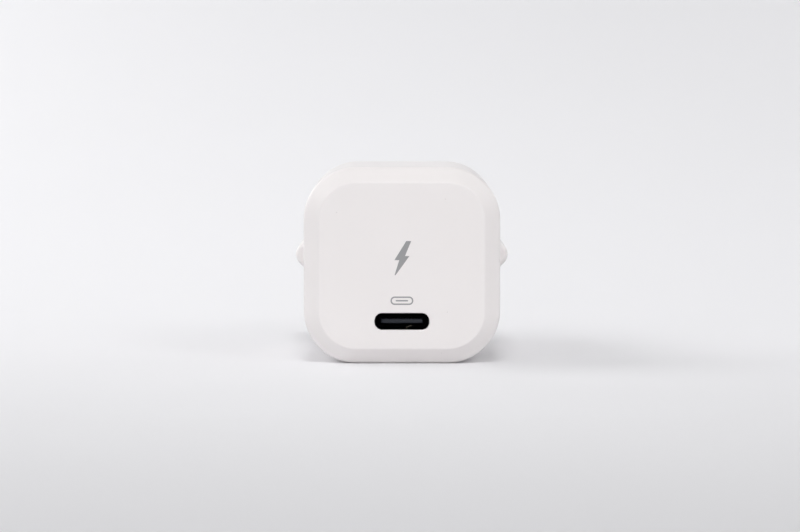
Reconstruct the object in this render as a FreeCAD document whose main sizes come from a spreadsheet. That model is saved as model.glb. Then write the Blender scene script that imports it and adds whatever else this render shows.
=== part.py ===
import FreeCAD, Part
import math
import os
import Sketcher

# A wall charger standing on its flat underside: X to the right, Y from the front to the plug pins,
# Z up, with the origin in the middle of the underside of the case. All sizes are in millimetres.
SIZES = (
    # Case
    ("body_width", 31.2, "case, left to right"),
    ("body_height", 31.2, "case, bottom to top"),
    ("body_depth", 33.0, "case, front face to the back of the cover"),
    ("corner_radius", 8.4, "rounding of the four long edges"),
    ("bevel_width", 2.45, "front bevel, seen from the front"),
    ("bevel_depth", 2.0, "front bevel, seen from the side"),
    ("face_edge_bevel", 0.24, "soft edge between front face and bevel"),
    ("bevel_edge_bevel", 0.57, "soft edge between bevel and sides"),
    ("wall", 1.6, "side walls of the case"),
    ("front_wall", 1.8, "front wall of the case"),
    ("cavity_bevel", 1.2, "bevel at the bottom of the cavity"),
    ("seam_bevel", 0.2, "fine bevel on both sides of the seam"),
    ("rib_width", 1.2, "width of a board rib"),
    # Rear cover
    ("cover_rim", 3.0, "side wall of the cover, along the case"),
    ("cover_wall", 2.0, "rear wall of the cover"),
    ("cover_edge_bevel", 1.2, "bevel of the rear edge"),
    ("spigot_depth", 1.5, "how far the cover enters the housing"),
    ("spigot_wall", 1.2, "wall of the part that enters"),
    ("spigot_gap", 0.1, "clearance round the part that enters"),
    # Plug base
    ("plug_width", 35.5, "plug base, tip to tip"),
    ("plug_height", 13.7, "plug base, between its flats"),
    ("plug_length", 17.0, "plug base, from the cover to its face"),
    ("plug_tip_radius", 2.0, "rounding of the two tips"),
    ("plug_shoulder_radius", 3.0, "rounding where flats meet slopes"),
    ("plug_edge_bevel", 0.6, "bevel round both ends of the plug base"),
    ("plug_wall", 1.8, "wall of the hollow plug base"),
    ("plug_face_wall", 3.0, "thickness behind the plug face"),
    ("boss_diameter", 7.6, "boss round each pin"),
    ("boss_length", 4.5, "boss behind the plug face wall"),
    # Plug pins
    ("pin_diameter", 4.0, "bare end of a pin"),
    ("pin_reach", 19.0, "pin, from the plug face to its tip"),
    ("pin_bare", 9.0, "length of the bare end"),
    ("pin_tip_radius", 1.6, "rounding of the tip"),
    ("pin_shank", 2.8, "diameter under the sleeve and of the inner end"),
    ("sleeve_diameter", 3.5, "outside of the sleeve"),
    ("sleeve_anchor", 2.5, "sleeve inside the plug face"),
    ("pin_tail_reach", 1.4, "inner end beyond the boss"),
    ("pin_spacing_root", 18.6, "pin axes at the plug face"),
    ("pin_spacing_tip", 17.5, "pin axes at the tips"),
    # Contact strips from the pins to the board
    ("strip_width", 3.0, "width of a strip"),
    ("strip_thickness", 0.4, "thickness of a strip"),
    ("strip_foot", 1.2, "foot on the board"),
    ("strip_rise", 2.0, "strip above and below the pin axis"),
    ("strip_inset", 0.9, "strip from the rear edge of the board"),
    ("strip_hole_gap", 0.15, "clearance round the pin"),
    # Port
    ("port_height", 6.8, "middle of the port above the underside"),
    ("slot_width", 8.66, "slot in the front face"),
    ("slot_height", 2.66, "slot in the front face"),
    ("slot_radius", 1.0, "corners of the slot"),
    ("slot_edge", 0.15, "bevel round the slot"),
    ("port_lip", 0.7, "front wall in front of the shell"),
    ("port_gap", 0.1, "clearance round the shell"),
    ("shell_width", 8.94, "outside of the metal shell"),
    ("shell_height", 3.16, "outside of the metal shell"),
    ("shell_wall", 0.3, "sheet of the metal shell"),
    ("shell_corner", 1.4, "outer corners of the shell"),
    ("shell_length", 6.6, "length of the shell"),
    ("leg_width", 1.0, "shell legs, along the port"),
    ("leg_inset", 1.6, "front legs from the front edge of the board"),
    ("leg_gap", 2.2, "front legs to rear legs"),
    ("tongue_width", 6.69, "tongue in the port"),
    ("tongue_thickness", 0.56, "tongue without its contacts"),
    ("tongue_length", 4.45, "tongue in front of its root"),
    ("tongue_setback", 0.3, "tongue behind the front of the shell"),
    ("root_width", 7.4, "root of the tongue"),
    ("root_thickness", 1.3, "root of the tongue"),
    ("root_length", 1.0, "root of the tongue"),
    ("contact_count", 6, "contacts in a row"),
    ("contact_pitch", 0.9, "contact to contact"),
    ("contact_width", 0.36, "width of a contact"),
    ("contact_thickness", 0.08, "thickness of a contact"),
    ("contact_setback", 0.5, "contacts behind the tip of the tongue"),
    ("tail_gap", 0.25, "tails behind the shell"),
    ("tail_row", 0.45, "one row of tails to the next"),
    ("tail_foot", 0.5, "foot of the upper tails"),
    # Circuit board
    ("board_thickness", 1.0, "circuit board"),
    ("board_gap", 0.3, "board to the case at its sides"),
    ("board_front_gap", 0.4, "board to the front wall"),
    ("board_rear_gap", 0.3, "board to the cover"),
    ("board_corner", 2.0, "corners of the board"),
    ("lead_thickness", 0.5, "square leads"),
    ("lead_reach", 0.6, "leads below the board"),
    ("lead_anchor", 0.8, "leads inside what they carry"),
    ("part_gap", 0.4, "least space between parts on the board"),
    # Transformer
    ("core_width", 13.0, "core, left to right"),
    ("core_depth", 6.0, "core, front to back"),
    ("core_height", 16.0, "both halves of the core together"),
    ("core_back", 2.4, "thickness of the core's back"),
    ("core_limb", 2.2, "outer limbs of the core"),
    ("core_post", 4.0, "middle limb of the core"),
    ("core_lift", 1.2, "core above the board"),
    ("bobbin_gap", 0.1, "clearance between bobbin and core"),
    ("bobbin_wall", 0.6, "tube and flanges of the bobbin"),
    ("winding_depth", 1.5, "winding in front of the tube"),
    ("rail_gap", 0.4, "pin rails to the core"),
    ("rail_pin_count", 4, "pins in a rail"),
    ("rail_pin_spacing", 2.2, "pin to pin in a rail"),
    # Wound and film parts
    ("bulk_diameter", 7.0, "mains capacitors"),
    ("bulk_height", 18.0, "mains capacitors"),
    ("bulk_lead_spacing", 2.5, "mains capacitors"),
    ("output_diameter", 5.0, "output capacitor"),
    ("output_height", 9.0, "output capacitor"),
    ("output_lead_spacing", 2.0, "output capacitor"),
    ("bung_inset", 0.35, "bung inside the edge of its can"),
    ("bung_height", 1.6, "rubber bung under a can"),
    ("fuse_width", 7.0, "fuse, left to right"),
    ("fuse_depth", 3.2, "fuse, front to back"),
    ("fuse_height", 7.0, "fuse"),
    ("fuse_edge_radius", 0.6, "upright edges of the fuse"),
    ("fuse_offset", 3.7, "fuse left of the middle"),
    ("fuse_lead_spacing", 5.0, "fuse leads"),
    ("choke_width", 4.5, "square flanges of the choke"),
    ("choke_post", 2.0, "middle of the choke"),
    ("choke_flange", 0.9, "thickness of a flange"),
    ("choke_height", 6.0, "choke"),
    ("choke_rim", 0.3, "winding inside the flange edge"),
    ("choke_offset", 3.2, "choke right of the middle"),
    ("choke_lead_spacing", 3.0, "choke leads"),
    # Flat parts under the board, and the sheets
    ("chip_width", 3.6, "flat chips, left to right"),
    ("chip_depth", 3.2, "flat chips, front to back"),
    ("chip_offset", 1.3, "flat chips right of the middle"),
    ("chip_thickness", 0.85, "flat chips"),
    ("rectifier_thickness", 1.4, "bridge rectifier"),
    ("optocoupler_thickness", 1.6, "optocoupler"),
    ("chip_spacing", 3.8, "chip to chip under the board"),
    ("passive_length", 1.6, "small chip part"),
    ("passive_width", 0.8, "small chip part"),
    ("passive_gap", 0.8, "small chip part to the next"),
    ("passive_count", 8, "small chip parts in a row"),
    ("spreader_thickness", 0.3, "heat spreader on the floor of the case"),
    ("spreader_length", 16.0, "heat spreader, front to back"),
    ("spreader_gap", 0.3, "heat spreader to the ribs"),
    ("sheet_thickness", 0.4, "barrier sheet"),
    ("sheet_height", 12.0, "barrier sheet"),
)

# Places that several pieces share
FRONT = "(-dims.body_depth / 2)"
BACK = "(dims.body_depth / 2)"
SEAM = f"({BACK} - dims.cover_rim)"
SPIGOT_FRONT = f"({SEAM} - dims.spigot_depth)"
CAVITY_FRONT = f"({FRONT} + dims.front_wall)"
CAVITY_WIDTH = "(dims.body_width - 2 * dims.wall)"
CAVITY_HEIGHT = "(dims.body_height - 2 * dims.wall)"
CAVITY_RADIUS = "(dims.corner_radius - dims.wall)"
MIDDLE = "(dims.body_height / 2)"
PLUG_FACE = f"({BACK} + dims.plug_length)"
BOSS_FRONT = f"({PLUG_FACE} - dims.plug_face_wall - dims.boss_length)"
PLUG_APEX = "(dims.plug_width / 2 + dims.plug_tip_radius * (sqrt(2) - 1))"
PIN_SLOPE = "((dims.pin_spacing_root - dims.pin_spacing_tip) / 2 / dims.pin_reach)"
MOUTH_WIDTH = "(dims.shell_width - 2 * dims.shell_wall)"
MOUTH_HEIGHT = "(dims.shell_height - 2 * dims.shell_wall)"
MOUTH_CORNER = "(dims.shell_corner - dims.shell_wall)"
PORT_FRONT = f"({FRONT} + dims.port_lip + dims.port_gap)"
BOARD_TOP = "(dims.port_height - dims.shell_height / 2)"
BOARD_BOTTOM = f"({BOARD_TOP} - dims.board_thickness)"
BOARD_FRONT = f"({CAVITY_FRONT} + dims.board_front_gap)"
BOARD_REAR = f"({SPIGOT_FRONT} - dims.board_rear_gap)"
FLOOR_CURVE = f"max(dims.corner_radius - {BOARD_BOTTOM}; 0)"
BOARD_HALF = (f"(dims.body_width / 2 - dims.corner_radius - dims.board_gap"
              f" + sqrt({CAVITY_RADIUS}^2 - {FLOOR_CURVE}^2))")
PORT_REAR = f"({PORT_FRONT} + dims.shell_length)"
PORT_TAILS = f"({PORT_REAR} + dims.tail_gap + dims.tail_row + dims.tail_foot)"
SHEET_FRONT = f"({PORT_TAILS} + dims.part_gap)"
WINDOW_HALF = "(dims.core_width / 2 - dims.core_limb)"
TUBE_HALF_WIDTH = "(dims.core_post / 2 + dims.bobbin_gap + dims.bobbin_wall)"
TUBE_HALF_DEPTH = "(dims.core_depth / 2 + dims.bobbin_gap + dims.bobbin_wall)"
FLANGE_HALF_WIDTH = f"({WINDOW_HALF} - dims.bobbin_gap)"
FLANGE_HALF_DEPTH = f"({TUBE_HALF_DEPTH} + dims.winding_depth + dims.bobbin_gap)"
FLANGE_LOW = "(dims.core_lift + dims.core_back + dims.bobbin_gap)"
FLANGE_HIGH = "(dims.core_lift + dims.core_height - dims.core_back - dims.bobbin_gap)"
TRANSFORMER_X = f"(-{BOARD_HALF} + dims.core_width / 2)"
TRANSFORMER_Y = f"({SHEET_FRONT} + dims.sheet_thickness + dims.part_gap + {FLANGE_HALF_DEPTH})"
BULK_X = f"({BOARD_HALF} - dims.bulk_diameter / 2)"
BULK_FRONT_Y = f"({PORT_REAR} + dims.part_gap + dims.bulk_diameter / 2)"
BULK_REAR_Y = f"({BULK_FRONT_Y} + dims.bulk_diameter + dims.part_gap)"
OUTPUT_X = f"(-{BOARD_HALF} + dims.part_gap + dims.output_diameter / 2)"
OUTPUT_Y = f"({BOARD_FRONT} + dims.part_gap + dims.output_diameter / 2)"
FUSE_Y = f"({BOARD_REAR} - dims.part_gap - dims.fuse_depth / 2)"
CHOKE_Y = f"({BOARD_REAR} - dims.part_gap - dims.choke_width / 2)"
STRIP_Y = f"({BOARD_REAR} - dims.strip_inset)"
STRIP_X = (f"(dims.pin_spacing_root / 2 + {PIN_SLOPE} *"
           f" (dims.plug_face_wall + dims.boss_length + dims.strip_thickness / 2))")
LEAD_LOW = "(-dims.board_thickness - dims.lead_reach)"
RIB_X = f"(-{TRANSFORMER_X})"
RIB_REAR = f"({FUSE_Y} - dims.fuse_depth / 2 - dims.part_gap)"
SPREADER_FRONT = f"({CAVITY_FRONT} + dims.cavity_bevel + dims.part_gap)"
CHIP_FRONT_Y = f"({BOARD_FRONT} + dims.part_gap + dims.chip_depth / 2)"

# Chips under the board, from the port side to the mains side, with their thicknesses
CHIPS = (
    ("charge_controller", "dims.chip_thickness"),
    ("sync_rectifier", "dims.chip_thickness"),
    ("optocoupler", "dims.optocoupler_thickness"),
    ("power_switch", "dims.chip_thickness"),
    ("bridge_rectifier", "dims.rectifier_thickness"),
)

# Steps of the rounding of a pin's tip
TIP_TURNS = ("0 deg", "45 deg", "90 deg")

# How near two lengths are to count as the same
CLOSE = 1e-4

doc = FreeCAD.newDocument("wall_charger")
sheet = doc.addObject("Spreadsheet::Sheet", "dims")
for row, (alias, size, meaning) in enumerate(SIZES, 1):
    sheet.set(f"A{row}", meaning)
    sheet.set(f"B{row}", str(size))
    sheet.setAlias(f"B{row}", alias)
doc.recompute()


def value(expression):
    """Return what an expression is worth with the sizes in the sheet."""
    return float(sheet.evalExpression(expression))


# Sketches


def new_body(label, x="0", y="0", z="0"):
    """Start a body with its own place."""
    body = doc.addObject("PartDesign::Body", label)
    body.Label = label
    place(body, x, y, z)
    return body


def place(piece, x, y, z):
    """Tie the place of a piece to the sizes."""
    for axis, expression in (("x", x), ("y", y), ("z", z)):
        piece.setExpression(f"Placement.Base.{axis}", expression)


def add_sketch(body, name, plane, offset="0"):
    """Start a sketch parallel to an origin plane of the body, at a distance along its axis."""
    sketch = body.newObject("Sketcher::SketchObject", name)
    support = next(feature for feature in body.Origin.OriginFeatures if feature.Role == plane)
    sketch.AttachmentSupport = [(support, "")]
    sketch.MapMode = "FlatFace"
    sign = "-" if plane == "XZ_Plane" else ""
    sketch.setExpression("AttachmentOffset.Base.z", f"{sign}({offset})")
    return sketch


def hold(sketch, kind, geometry, end, expression):
    """Hold one coordinate of a point at an expression."""
    index = sketch.addConstraint(Sketcher.Constraint(kind, -1, 1, geometry, end, value(expression)))
    sketch.setExpression(f"Constraints[{index}]", expression)


def size_circle(sketch, geometry, radius):
    """Hold the radius of a circle or an arc at an expression."""
    index = sketch.addConstraint(Sketcher.Constraint("Radius", geometry, value(radius)))
    sketch.setExpression(f"Constraints[{index}]", radius)


def polygon(sketch, corners):
    """Draw a closed outline of straight lines through corners given as expressions."""
    first = sketch.GeometryCount
    points = [FreeCAD.Vector(value(x), value(y), 0) for x, y in corners]
    for start, end in zip(points, points[1:] + points[:1]):
        sketch.addGeometry(Part.LineSegment(start, end), False)
    for number, (x, y) in enumerate(corners):
        previous = first + (number - 1) % len(corners)
        sketch.addConstraint(Sketcher.Constraint("Coincident", previous, 2, first + number, 1))
        hold(sketch, "DistanceX", first + number, 1, x)
        hold(sketch, "DistanceY", first + number, 1, y)


def rectangle(sketch, left, right, low, high):
    """Draw an upright rectangle between four expressions."""
    polygon(sketch, [(left, low), (right, low), (right, high), (left, high)])


def centred_rectangle(sketch, half_width, half_height):
    """Draw a rectangle round the sketch origin."""
    rectangle(sketch, f"-({half_width})", half_width, f"-({half_height})", half_height)


def rounded_rectangle(sketch, width, height, radius, middle="0"):
    """Draw a rectangle with round corners, at a height above the sketch origin."""
    right, top, corner = value(f"({width}) / 2"), value(f"({height}) / 2"), value(radius)
    rise = value(middle)
    turns = ((right - corner, corner - top, -math.pi / 2), (right - corner, top - corner, 0),
             (corner - right, top - corner, math.pi / 2), (corner - right, corner - top, math.pi))
    arcs = []
    for x, y, start in turns:
        circle = Part.Circle(FreeCAD.Vector(x, y + rise, 0), FreeCAD.Vector(0, 0, 1), corner)
        arcs.append(Part.ArcOfCircle(circle, start, start + math.pi / 2))
    for arc, following in zip(arcs, arcs[1:] + arcs[:1]):
        sketch.addGeometry(arc, False)
        sketch.addGeometry(Part.LineSegment(arc.EndPoint, following.StartPoint), False)
    for number in range(8):
        sketch.addConstraint(Sketcher.Constraint("Tangent", number, 2, (number + 1) % 8, 1))
    for upright, level in ((1, 3), (5, 7)):
        sketch.addConstraint(Sketcher.Constraint("Vertical", upright))
        sketch.addConstraint(Sketcher.Constraint("Horizontal", level))
    for arc in (2, 4, 6):
        sketch.addConstraint(Sketcher.Constraint("Equal", 0, arc))
    size_circle(sketch, 0, radius)
    hold(sketch, "DistanceX", 1, 1, f"({width}) / 2")
    hold(sketch, "DistanceX", 5, 1, f"-({width}) / 2")
    hold(sketch, "DistanceY", 3, 1, f"{middle} + ({height}) / 2")
    hold(sketch, "DistanceY", 7, 1, f"{middle} - ({height}) / 2")


def circle(sketch, diameter, x="0", y="0"):
    """Draw a circle round a point."""
    centre = FreeCAD.Vector(value(x), value(y), 0)
    radius = f"({diameter}) / 2"
    number = sketch.addGeometry(Part.Circle(centre, FreeCAD.Vector(0, 0, 1), value(radius)), False)
    hold(sketch, "DistanceX", number, 3, x)
    hold(sketch, "DistanceY", number, 3, y)
    size_circle(sketch, number, radius)


# Features


def extrude(body, kind, sketch, length, both_ways=False):
    """Pad or pocket a sketch towards the positive end of its axis, or to both sides."""
    feature = body.newObject(f"PartDesign::{kind}", f"{sketch.Name}_{kind}")
    feature.Profile = sketch
    feature.setExpression("Length", length)
    facing_front = sketch.AttachmentSupport[0][0].Role == "XZ_Plane"
    feature.Reversed = facing_front if kind == "Pad" else not facing_front
    if both_ways:
        feature.SideType = "Symmetric"
    body.Tip = feature
    doc.recompute()
    return feature


def revolve(body, sketch):
    """Turn a sketch round its upright axis."""
    feature = body.newObject("PartDesign::Revolution", f"{sketch.Name}_turned")
    feature.Profile = sketch
    feature.ReferenceAxis = (sketch, ["V_Axis"])
    body.Tip = feature
    doc.recompute()
    return feature


def dress(body, kind, wanted, amount, depth=None):
    """Fillet or chamfer the edges of the body that a test picks."""
    base = body.Tip
    names = [f"Edge{number}" for number, edge in enumerate(base.Shape.Edges, 1) if wanted(edge)]
    feature = body.newObject(f"PartDesign::{kind}", f"{base.Name}_{kind}")
    feature.Base = (base, names)
    feature.setExpression("Radius" if kind == "Fillet" else "Size", amount)
    if depth:
        feature.ChamferType = "Two distances"
        feature.setExpression("Size2", depth)
    body.Tip = feature
    doc.recompute()
    return feature


def near(first, second):
    """Tell whether two lengths are the same for picking edges."""
    return abs(first - second) < CLOSE


def lies_at(axis, expression):
    """Pick the edges that lie in one plane across an axis."""
    place_on_axis = value(expression)

    def test(edge):
        box = edge.BoundBox
        ends = (getattr(box, f"{axis}Min"), getattr(box, f"{axis}Max"))
        return all(near(end, place_on_axis) for end in ends)
    return test


def runs_along(axis):
    """Pick the straight edges that run along an axis."""
    direction = FreeCAD.Vector(*(float(axis == name) for name in "XYZ"))

    def test(edge):
        straight = edge.Curve.TypeId == "Part::GeomLine"
        return straight and near(abs(edge.Curve.Direction * direction), 1)
    return test


def outside(expression):
    """Pick the edges that reach sideways beyond a distance."""
    limit = value(expression)
    return lambda edge: max(abs(edge.BoundBox.XMin), abs(edge.BoundBox.XMax)) > limit


def every(*tests):
    """Pick the edges that pass all the tests."""
    return lambda edge: all(test(edge) for test in tests)


def repeat(body, features, axis, length, count):
    """Repeat features in a row along an origin axis."""
    pattern = body.newObject("PartDesign::LinearPattern", f"{body.Name}_row")
    pattern.Originals = features
    line = next(feature for feature in body.Origin.OriginFeatures if feature.Role == axis)
    pattern.Direction = (line, [""])
    pattern.setExpression("Length", length)
    pattern.setExpression("Occurrences", count)
    body.Tip = pattern
    doc.recompute()
    return pattern


def cut_round(label, blank, inserts):
    """Cut the seats of inserts out of a blank, face to face."""
    for number, insert in enumerate(inserts, 1):
        last = number == len(inserts)
        seat = doc.addObject("Part::Cut", label if last else f"{label}_seat_{number}")
        seat.Base = blank
        seat.Tool = insert
        blank = seat
    blank.Label = label
    doc.recompute()
    return blank


def group(label, pieces):
    """Keep like pieces together as separate solids."""
    gathered = doc.addObject("Part::Compound", label)
    gathered.Label = label
    gathered.Links = pieces
    doc.recompute()
    return gathered


def block(label, size, x, y, z):
    """Make a plain block, centred on x and y and standing on z."""
    width, depth, height = size
    piece = doc.addObject("Part::Box", label)
    piece.Label = label
    piece.setExpression("Length", width)
    piece.setExpression("Width", depth)
    piece.setExpression("Height", height)
    place(piece, f"{x} - ({width}) / 2", f"{y} - ({depth}) / 2", z)
    doc.recompute()
    return piece


# Case


def make_housing():
    """The cup: bevelled front, cavity, port slot and the two ribs under the board."""
    body = new_body("housing")
    outline = add_sketch(body, "housing_outline", "XZ_Plane", FRONT)
    rounded_rectangle(outline, "dims.body_width", "dims.body_height", "dims.corner_radius", MIDDLE)
    extrude(body, "Pad", outline, f"{SEAM} - {FRONT}")
    dress(body, "Chamfer", lies_at("Y", FRONT), "dims.bevel_depth", "dims.bevel_width")
    dress(body, "Chamfer", lies_at("Y", FRONT), "dims.face_edge_bevel")
    dress(body, "Chamfer", lies_at("Y", f"{FRONT} + dims.bevel_depth"), "dims.bevel_edge_bevel")
    dress(body, "Chamfer", lies_at("Y", SEAM), "dims.seam_bevel")
    cavity = add_sketch(body, "housing_cavity", "XZ_Plane", CAVITY_FRONT)
    rounded_rectangle(cavity, CAVITY_WIDTH, CAVITY_HEIGHT, CAVITY_RADIUS, MIDDLE)
    extrude(body, "Pocket", cavity, f"{SEAM} - {CAVITY_FRONT}")
    dress(body, "Chamfer", lies_at("Y", CAVITY_FRONT), "dims.cavity_bevel")
    make_port_opening(body)
    ribs = add_sketch(body, "housing_ribs", "XZ_Plane", PORT_TAILS)
    for side in ("", "-"):
        near_edge = f"{side}({RIB_X} - dims.rib_width / 2)"
        far_edge = f"{side}({RIB_X} + dims.rib_width / 2)"
        rectangle(ribs, near_edge, far_edge, "dims.wall / 2", BOARD_BOTTOM)
    extrude(body, "Pad", ribs, f"{RIB_REAR} - {PORT_TAILS}")
    return body


def make_port_opening(body):
    """The slot in the front face and the wider seat of the shell behind it."""
    slot = add_sketch(body, "port_slot", "XZ_Plane", FRONT)
    rounded_rectangle(slot, "dims.slot_width", "dims.slot_height", "dims.slot_radius", "dims.port_height")
    extrude(body, "Pocket", slot, "dims.front_wall")
    inside_slot = lambda edge: edge.BoundBox.DiagonalLength < value("dims.slot_width + dims.slot_edge")
    dress(body, "Chamfer", every(lies_at("Y", FRONT), inside_slot), "dims.slot_edge")
    seat = add_sketch(body, "port_seat", "XZ_Plane", f"{FRONT} + dims.port_lip")
    rounded_rectangle(seat, "dims.shell_width + 2 * dims.port_gap", "dims.shell_height + 2 * dims.port_gap",
                      "dims.shell_corner + dims.port_gap", "dims.port_height")
    extrude(body, "Pocket", seat, "dims.front_wall - dims.port_lip")


def plug_outline(sketch):
    """The six-sided outline of the plug base, with slopes of 45 degrees."""
    flat = f"({PLUG_APEX} - dims.plug_height / 2)"
    low = f"({MIDDLE} - dims.plug_height / 2)"
    high = f"({MIDDLE} + dims.plug_height / 2)"
    polygon(sketch, [(f"-{flat}", low), (flat, low), (PLUG_APEX, MIDDLE),
                     (flat, high), (f"-{flat}", high), (f"-{PLUG_APEX}", MIDDLE)])


def plug_hollow_outline(sketch):
    """The outline of the hollow in the plug base, cut off upright inside the tips."""
    apex = f"({PLUG_APEX} - dims.plug_wall * sqrt(2))"
    half = "(dims.plug_height / 2 - dims.plug_wall)"
    flat = f"({apex} - {half})"
    side = f"(min({CAVITY_WIDTH} / 2 - dims.spigot_gap - dims.spigot_wall; {apex} - dims.plug_wall))"
    step = f"({apex} - {side})"
    corners = [(flat, f"{MIDDLE} + {half}"), (f"-{flat}", f"{MIDDLE} + {half}"),
               (f"-{side}", f"{MIDDLE} + {step}"), (f"-{side}", f"{MIDDLE} - {step}"),
               (f"-{flat}", f"{MIDDLE} - {half}"), (flat, f"{MIDDLE} - {half}"),
               (side, f"{MIDDLE} - {step}"), (side, f"{MIDDLE} + {step}")]
    polygon(sketch, corners)


def make_cover_rim():
    """The rim of the cover that carries on the case, with the spigot that enters the housing."""
    body = new_body("cover_rim")
    rim = add_sketch(body, "rim_outline", "XZ_Plane", SEAM)
    rounded_rectangle(rim, "dims.body_width", "dims.body_height", "dims.corner_radius", MIDDLE)
    extrude(body, "Pad", rim, "dims.cover_rim")
    dress(body, "Chamfer", lies_at("Y", BACK), "dims.cover_edge_bevel")
    dress(body, "Chamfer", lies_at("Y", SEAM), "dims.seam_bevel")
    gap = "dims.spigot_gap"
    spigot = add_sketch(body, "spigot_outline", "XZ_Plane", SPIGOT_FRONT)
    rounded_rectangle(spigot, f"{CAVITY_WIDTH} - 2 * {gap}", f"{CAVITY_HEIGHT} - 2 * {gap}",
                      f"{CAVITY_RADIUS} - {gap}", MIDDLE)
    extrude(body, "Pad", spigot, "dims.spigot_depth")
    return body


def make_plug_base():
    """The solid plug base, rounded all over, that starts at the bevel of the rear edge."""
    body = new_body("plug_base")
    plug_start = f"({BACK} - dims.cover_edge_bevel)"
    plug = add_sketch(body, "plug_outline", "XZ_Plane", plug_start)
    plug_outline(plug)
    extrude(body, "Pad", plug, f"{PLUG_FACE} - {plug_start}")
    tips = outside("dims.plug_width / 2")
    dress(body, "Fillet", every(runs_along("Y"), tips), "dims.plug_tip_radius")
    shoulders = lambda edge: near(abs(edge.BoundBox.ZMin - value(MIDDLE)), value("dims.plug_height / 2"))
    dress(body, "Fillet", every(runs_along("Y"), shoulders), "dims.plug_shoulder_radius")
    for end in (PLUG_FACE, plug_start):
        dress(body, "Chamfer", lies_at("Y", end), "dims.plug_edge_bevel")
    return body


def make_cover_hollow():
    """The space inside the cover and its plug base, less the bosses of the pins."""
    body = new_body("cover_hollow")
    inset = "(dims.spigot_gap + dims.spigot_wall)"
    rim_hollow = add_sketch(body, "rim_hollow", "XZ_Plane", SPIGOT_FRONT)
    rounded_rectangle(rim_hollow, f"{CAVITY_WIDTH} - 2 * {inset}", f"{CAVITY_HEIGHT} - 2 * {inset}",
                      f"{CAVITY_RADIUS} - {inset}", MIDDLE)
    extrude(body, "Pad", rim_hollow, f"{BACK} - dims.cover_wall - {SPIGOT_FRONT}")
    plug_hollow = add_sketch(body, "plug_hollow", "XZ_Plane", f"{BACK} - dims.cover_wall")
    plug_hollow_outline(plug_hollow)
    extrude(body, "Pad", plug_hollow, "dims.cover_wall + dims.plug_length - dims.plug_face_wall")
    bosses = add_sketch(body, "pin_bosses", "XZ_Plane", BOSS_FRONT)
    for side in ("", "-"):
        circle(bosses, "dims.boss_diameter", f"{side}dims.pin_spacing_root / 2", MIDDLE)
    extrude(body, "Pocket", bosses, "dims.boss_length")
    return body


def make_cover(pins, sleeves):
    """The rear cover: rim and plug base in one, hollow inside and moulded round the pins."""
    blank = doc.addObject("Part::Fuse", "rear_cover_blank")
    blank.Base = make_cover_rim()
    blank.Tool = make_plug_base()
    doc.recompute()
    return cut_round("rear_cover", blank, [make_cover_hollow(), *pins, *sleeves])


# Plug pins


def pin_place(body, side):
    """Put a pin on the plug face, leaning a little towards the other pin."""
    turn = FreeCAD.Rotation(FreeCAD.Vector(0, 0, 1), 1)
    body.Placement = FreeCAD.Placement(FreeCAD.Vector(), turn)
    place(body, f"{side}dims.pin_spacing_root / 2", PLUG_FACE, MIDDLE)
    body.setExpression("Placement.Rotation.Angle", f"{side}atan({PIN_SLOPE})")


def make_pin(label, side):
    """A turned pin: bare end with a rounded tip, and shank, along its own Y axis."""
    body = new_body(label)
    pin_place(body, side)
    bare_start = "(dims.pin_reach - dims.pin_bare)"
    inner_end = "(-dims.plug_face_wall - dims.boss_length - dims.pin_tail_reach)"
    shank, bare, tip = "dims.pin_shank / 2", "dims.pin_diameter / 2", "dims.pin_tip_radius"
    rounding = [(f"{bare} - {tip} * (1 - cos({turn}))", f"dims.pin_reach - {tip} * (1 - sin({turn}))")
                for turn in TIP_TURNS]
    profile = add_sketch(body, f"{label}_profile", "XY_Plane")
    polygon(profile, [("0", inner_end), (shank, inner_end), (shank, bare_start), (bare, bare_start),
                      *rounding, ("0", "dims.pin_reach")])
    revolve(body, profile)
    return body


def make_sleeve(label, side):
    """The insulating sleeve on the shank of a pin."""
    body = new_body(label)
    pin_place(body, side)
    profile = add_sketch(body, f"{label}_profile", "XY_Plane")
    rectangle(profile, "dims.pin_shank / 2", "dims.sleeve_diameter / 2",
              "-dims.sleeve_anchor", "dims.pin_reach - dims.pin_bare")
    revolve(body, profile)
    return body


def make_contact_strip(label, side):
    """A bent strip that stands on the board and takes the tail of a pin through its end."""
    body = new_body(label, x=f"{side}{STRIP_X}")
    thick = "dims.strip_thickness"
    low, run = BOARD_TOP, f"({MIDDLE} + dims.strip_rise)"
    hang = f"({MIDDLE} - dims.strip_rise)"
    profile = add_sketch(body, f"{label}_profile", "YZ_Plane")
    polygon(profile, [(f"{STRIP_Y} - dims.strip_foot", low), (f"{STRIP_Y} + {thick}", low),
                      (f"{STRIP_Y} + {thick}", run), (f"{BOSS_FRONT} - {thick}", run),
                      (f"{BOSS_FRONT} - {thick}", hang), (BOSS_FRONT, hang),
                      (BOSS_FRONT, f"{run} + {thick}"), (STRIP_Y, f"{run} + {thick}"),
                      (STRIP_Y, f"{low} + {thick}"), (f"{STRIP_Y} - dims.strip_foot", f"{low} + {thick}")])
    extrude(body, "Pad", profile, "dims.strip_width", both_ways=True)
    hole = add_sketch(body, f"{label}_hole", "XZ_Plane", f"{BOSS_FRONT} - 2 * {thick}")
    circle(hole, "dims.pin_shank + 2 * dims.strip_hole_gap", "0", MIDDLE)
    extrude(body, "Pocket", hole, f"3 * {thick}")
    return body


# Port


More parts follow.
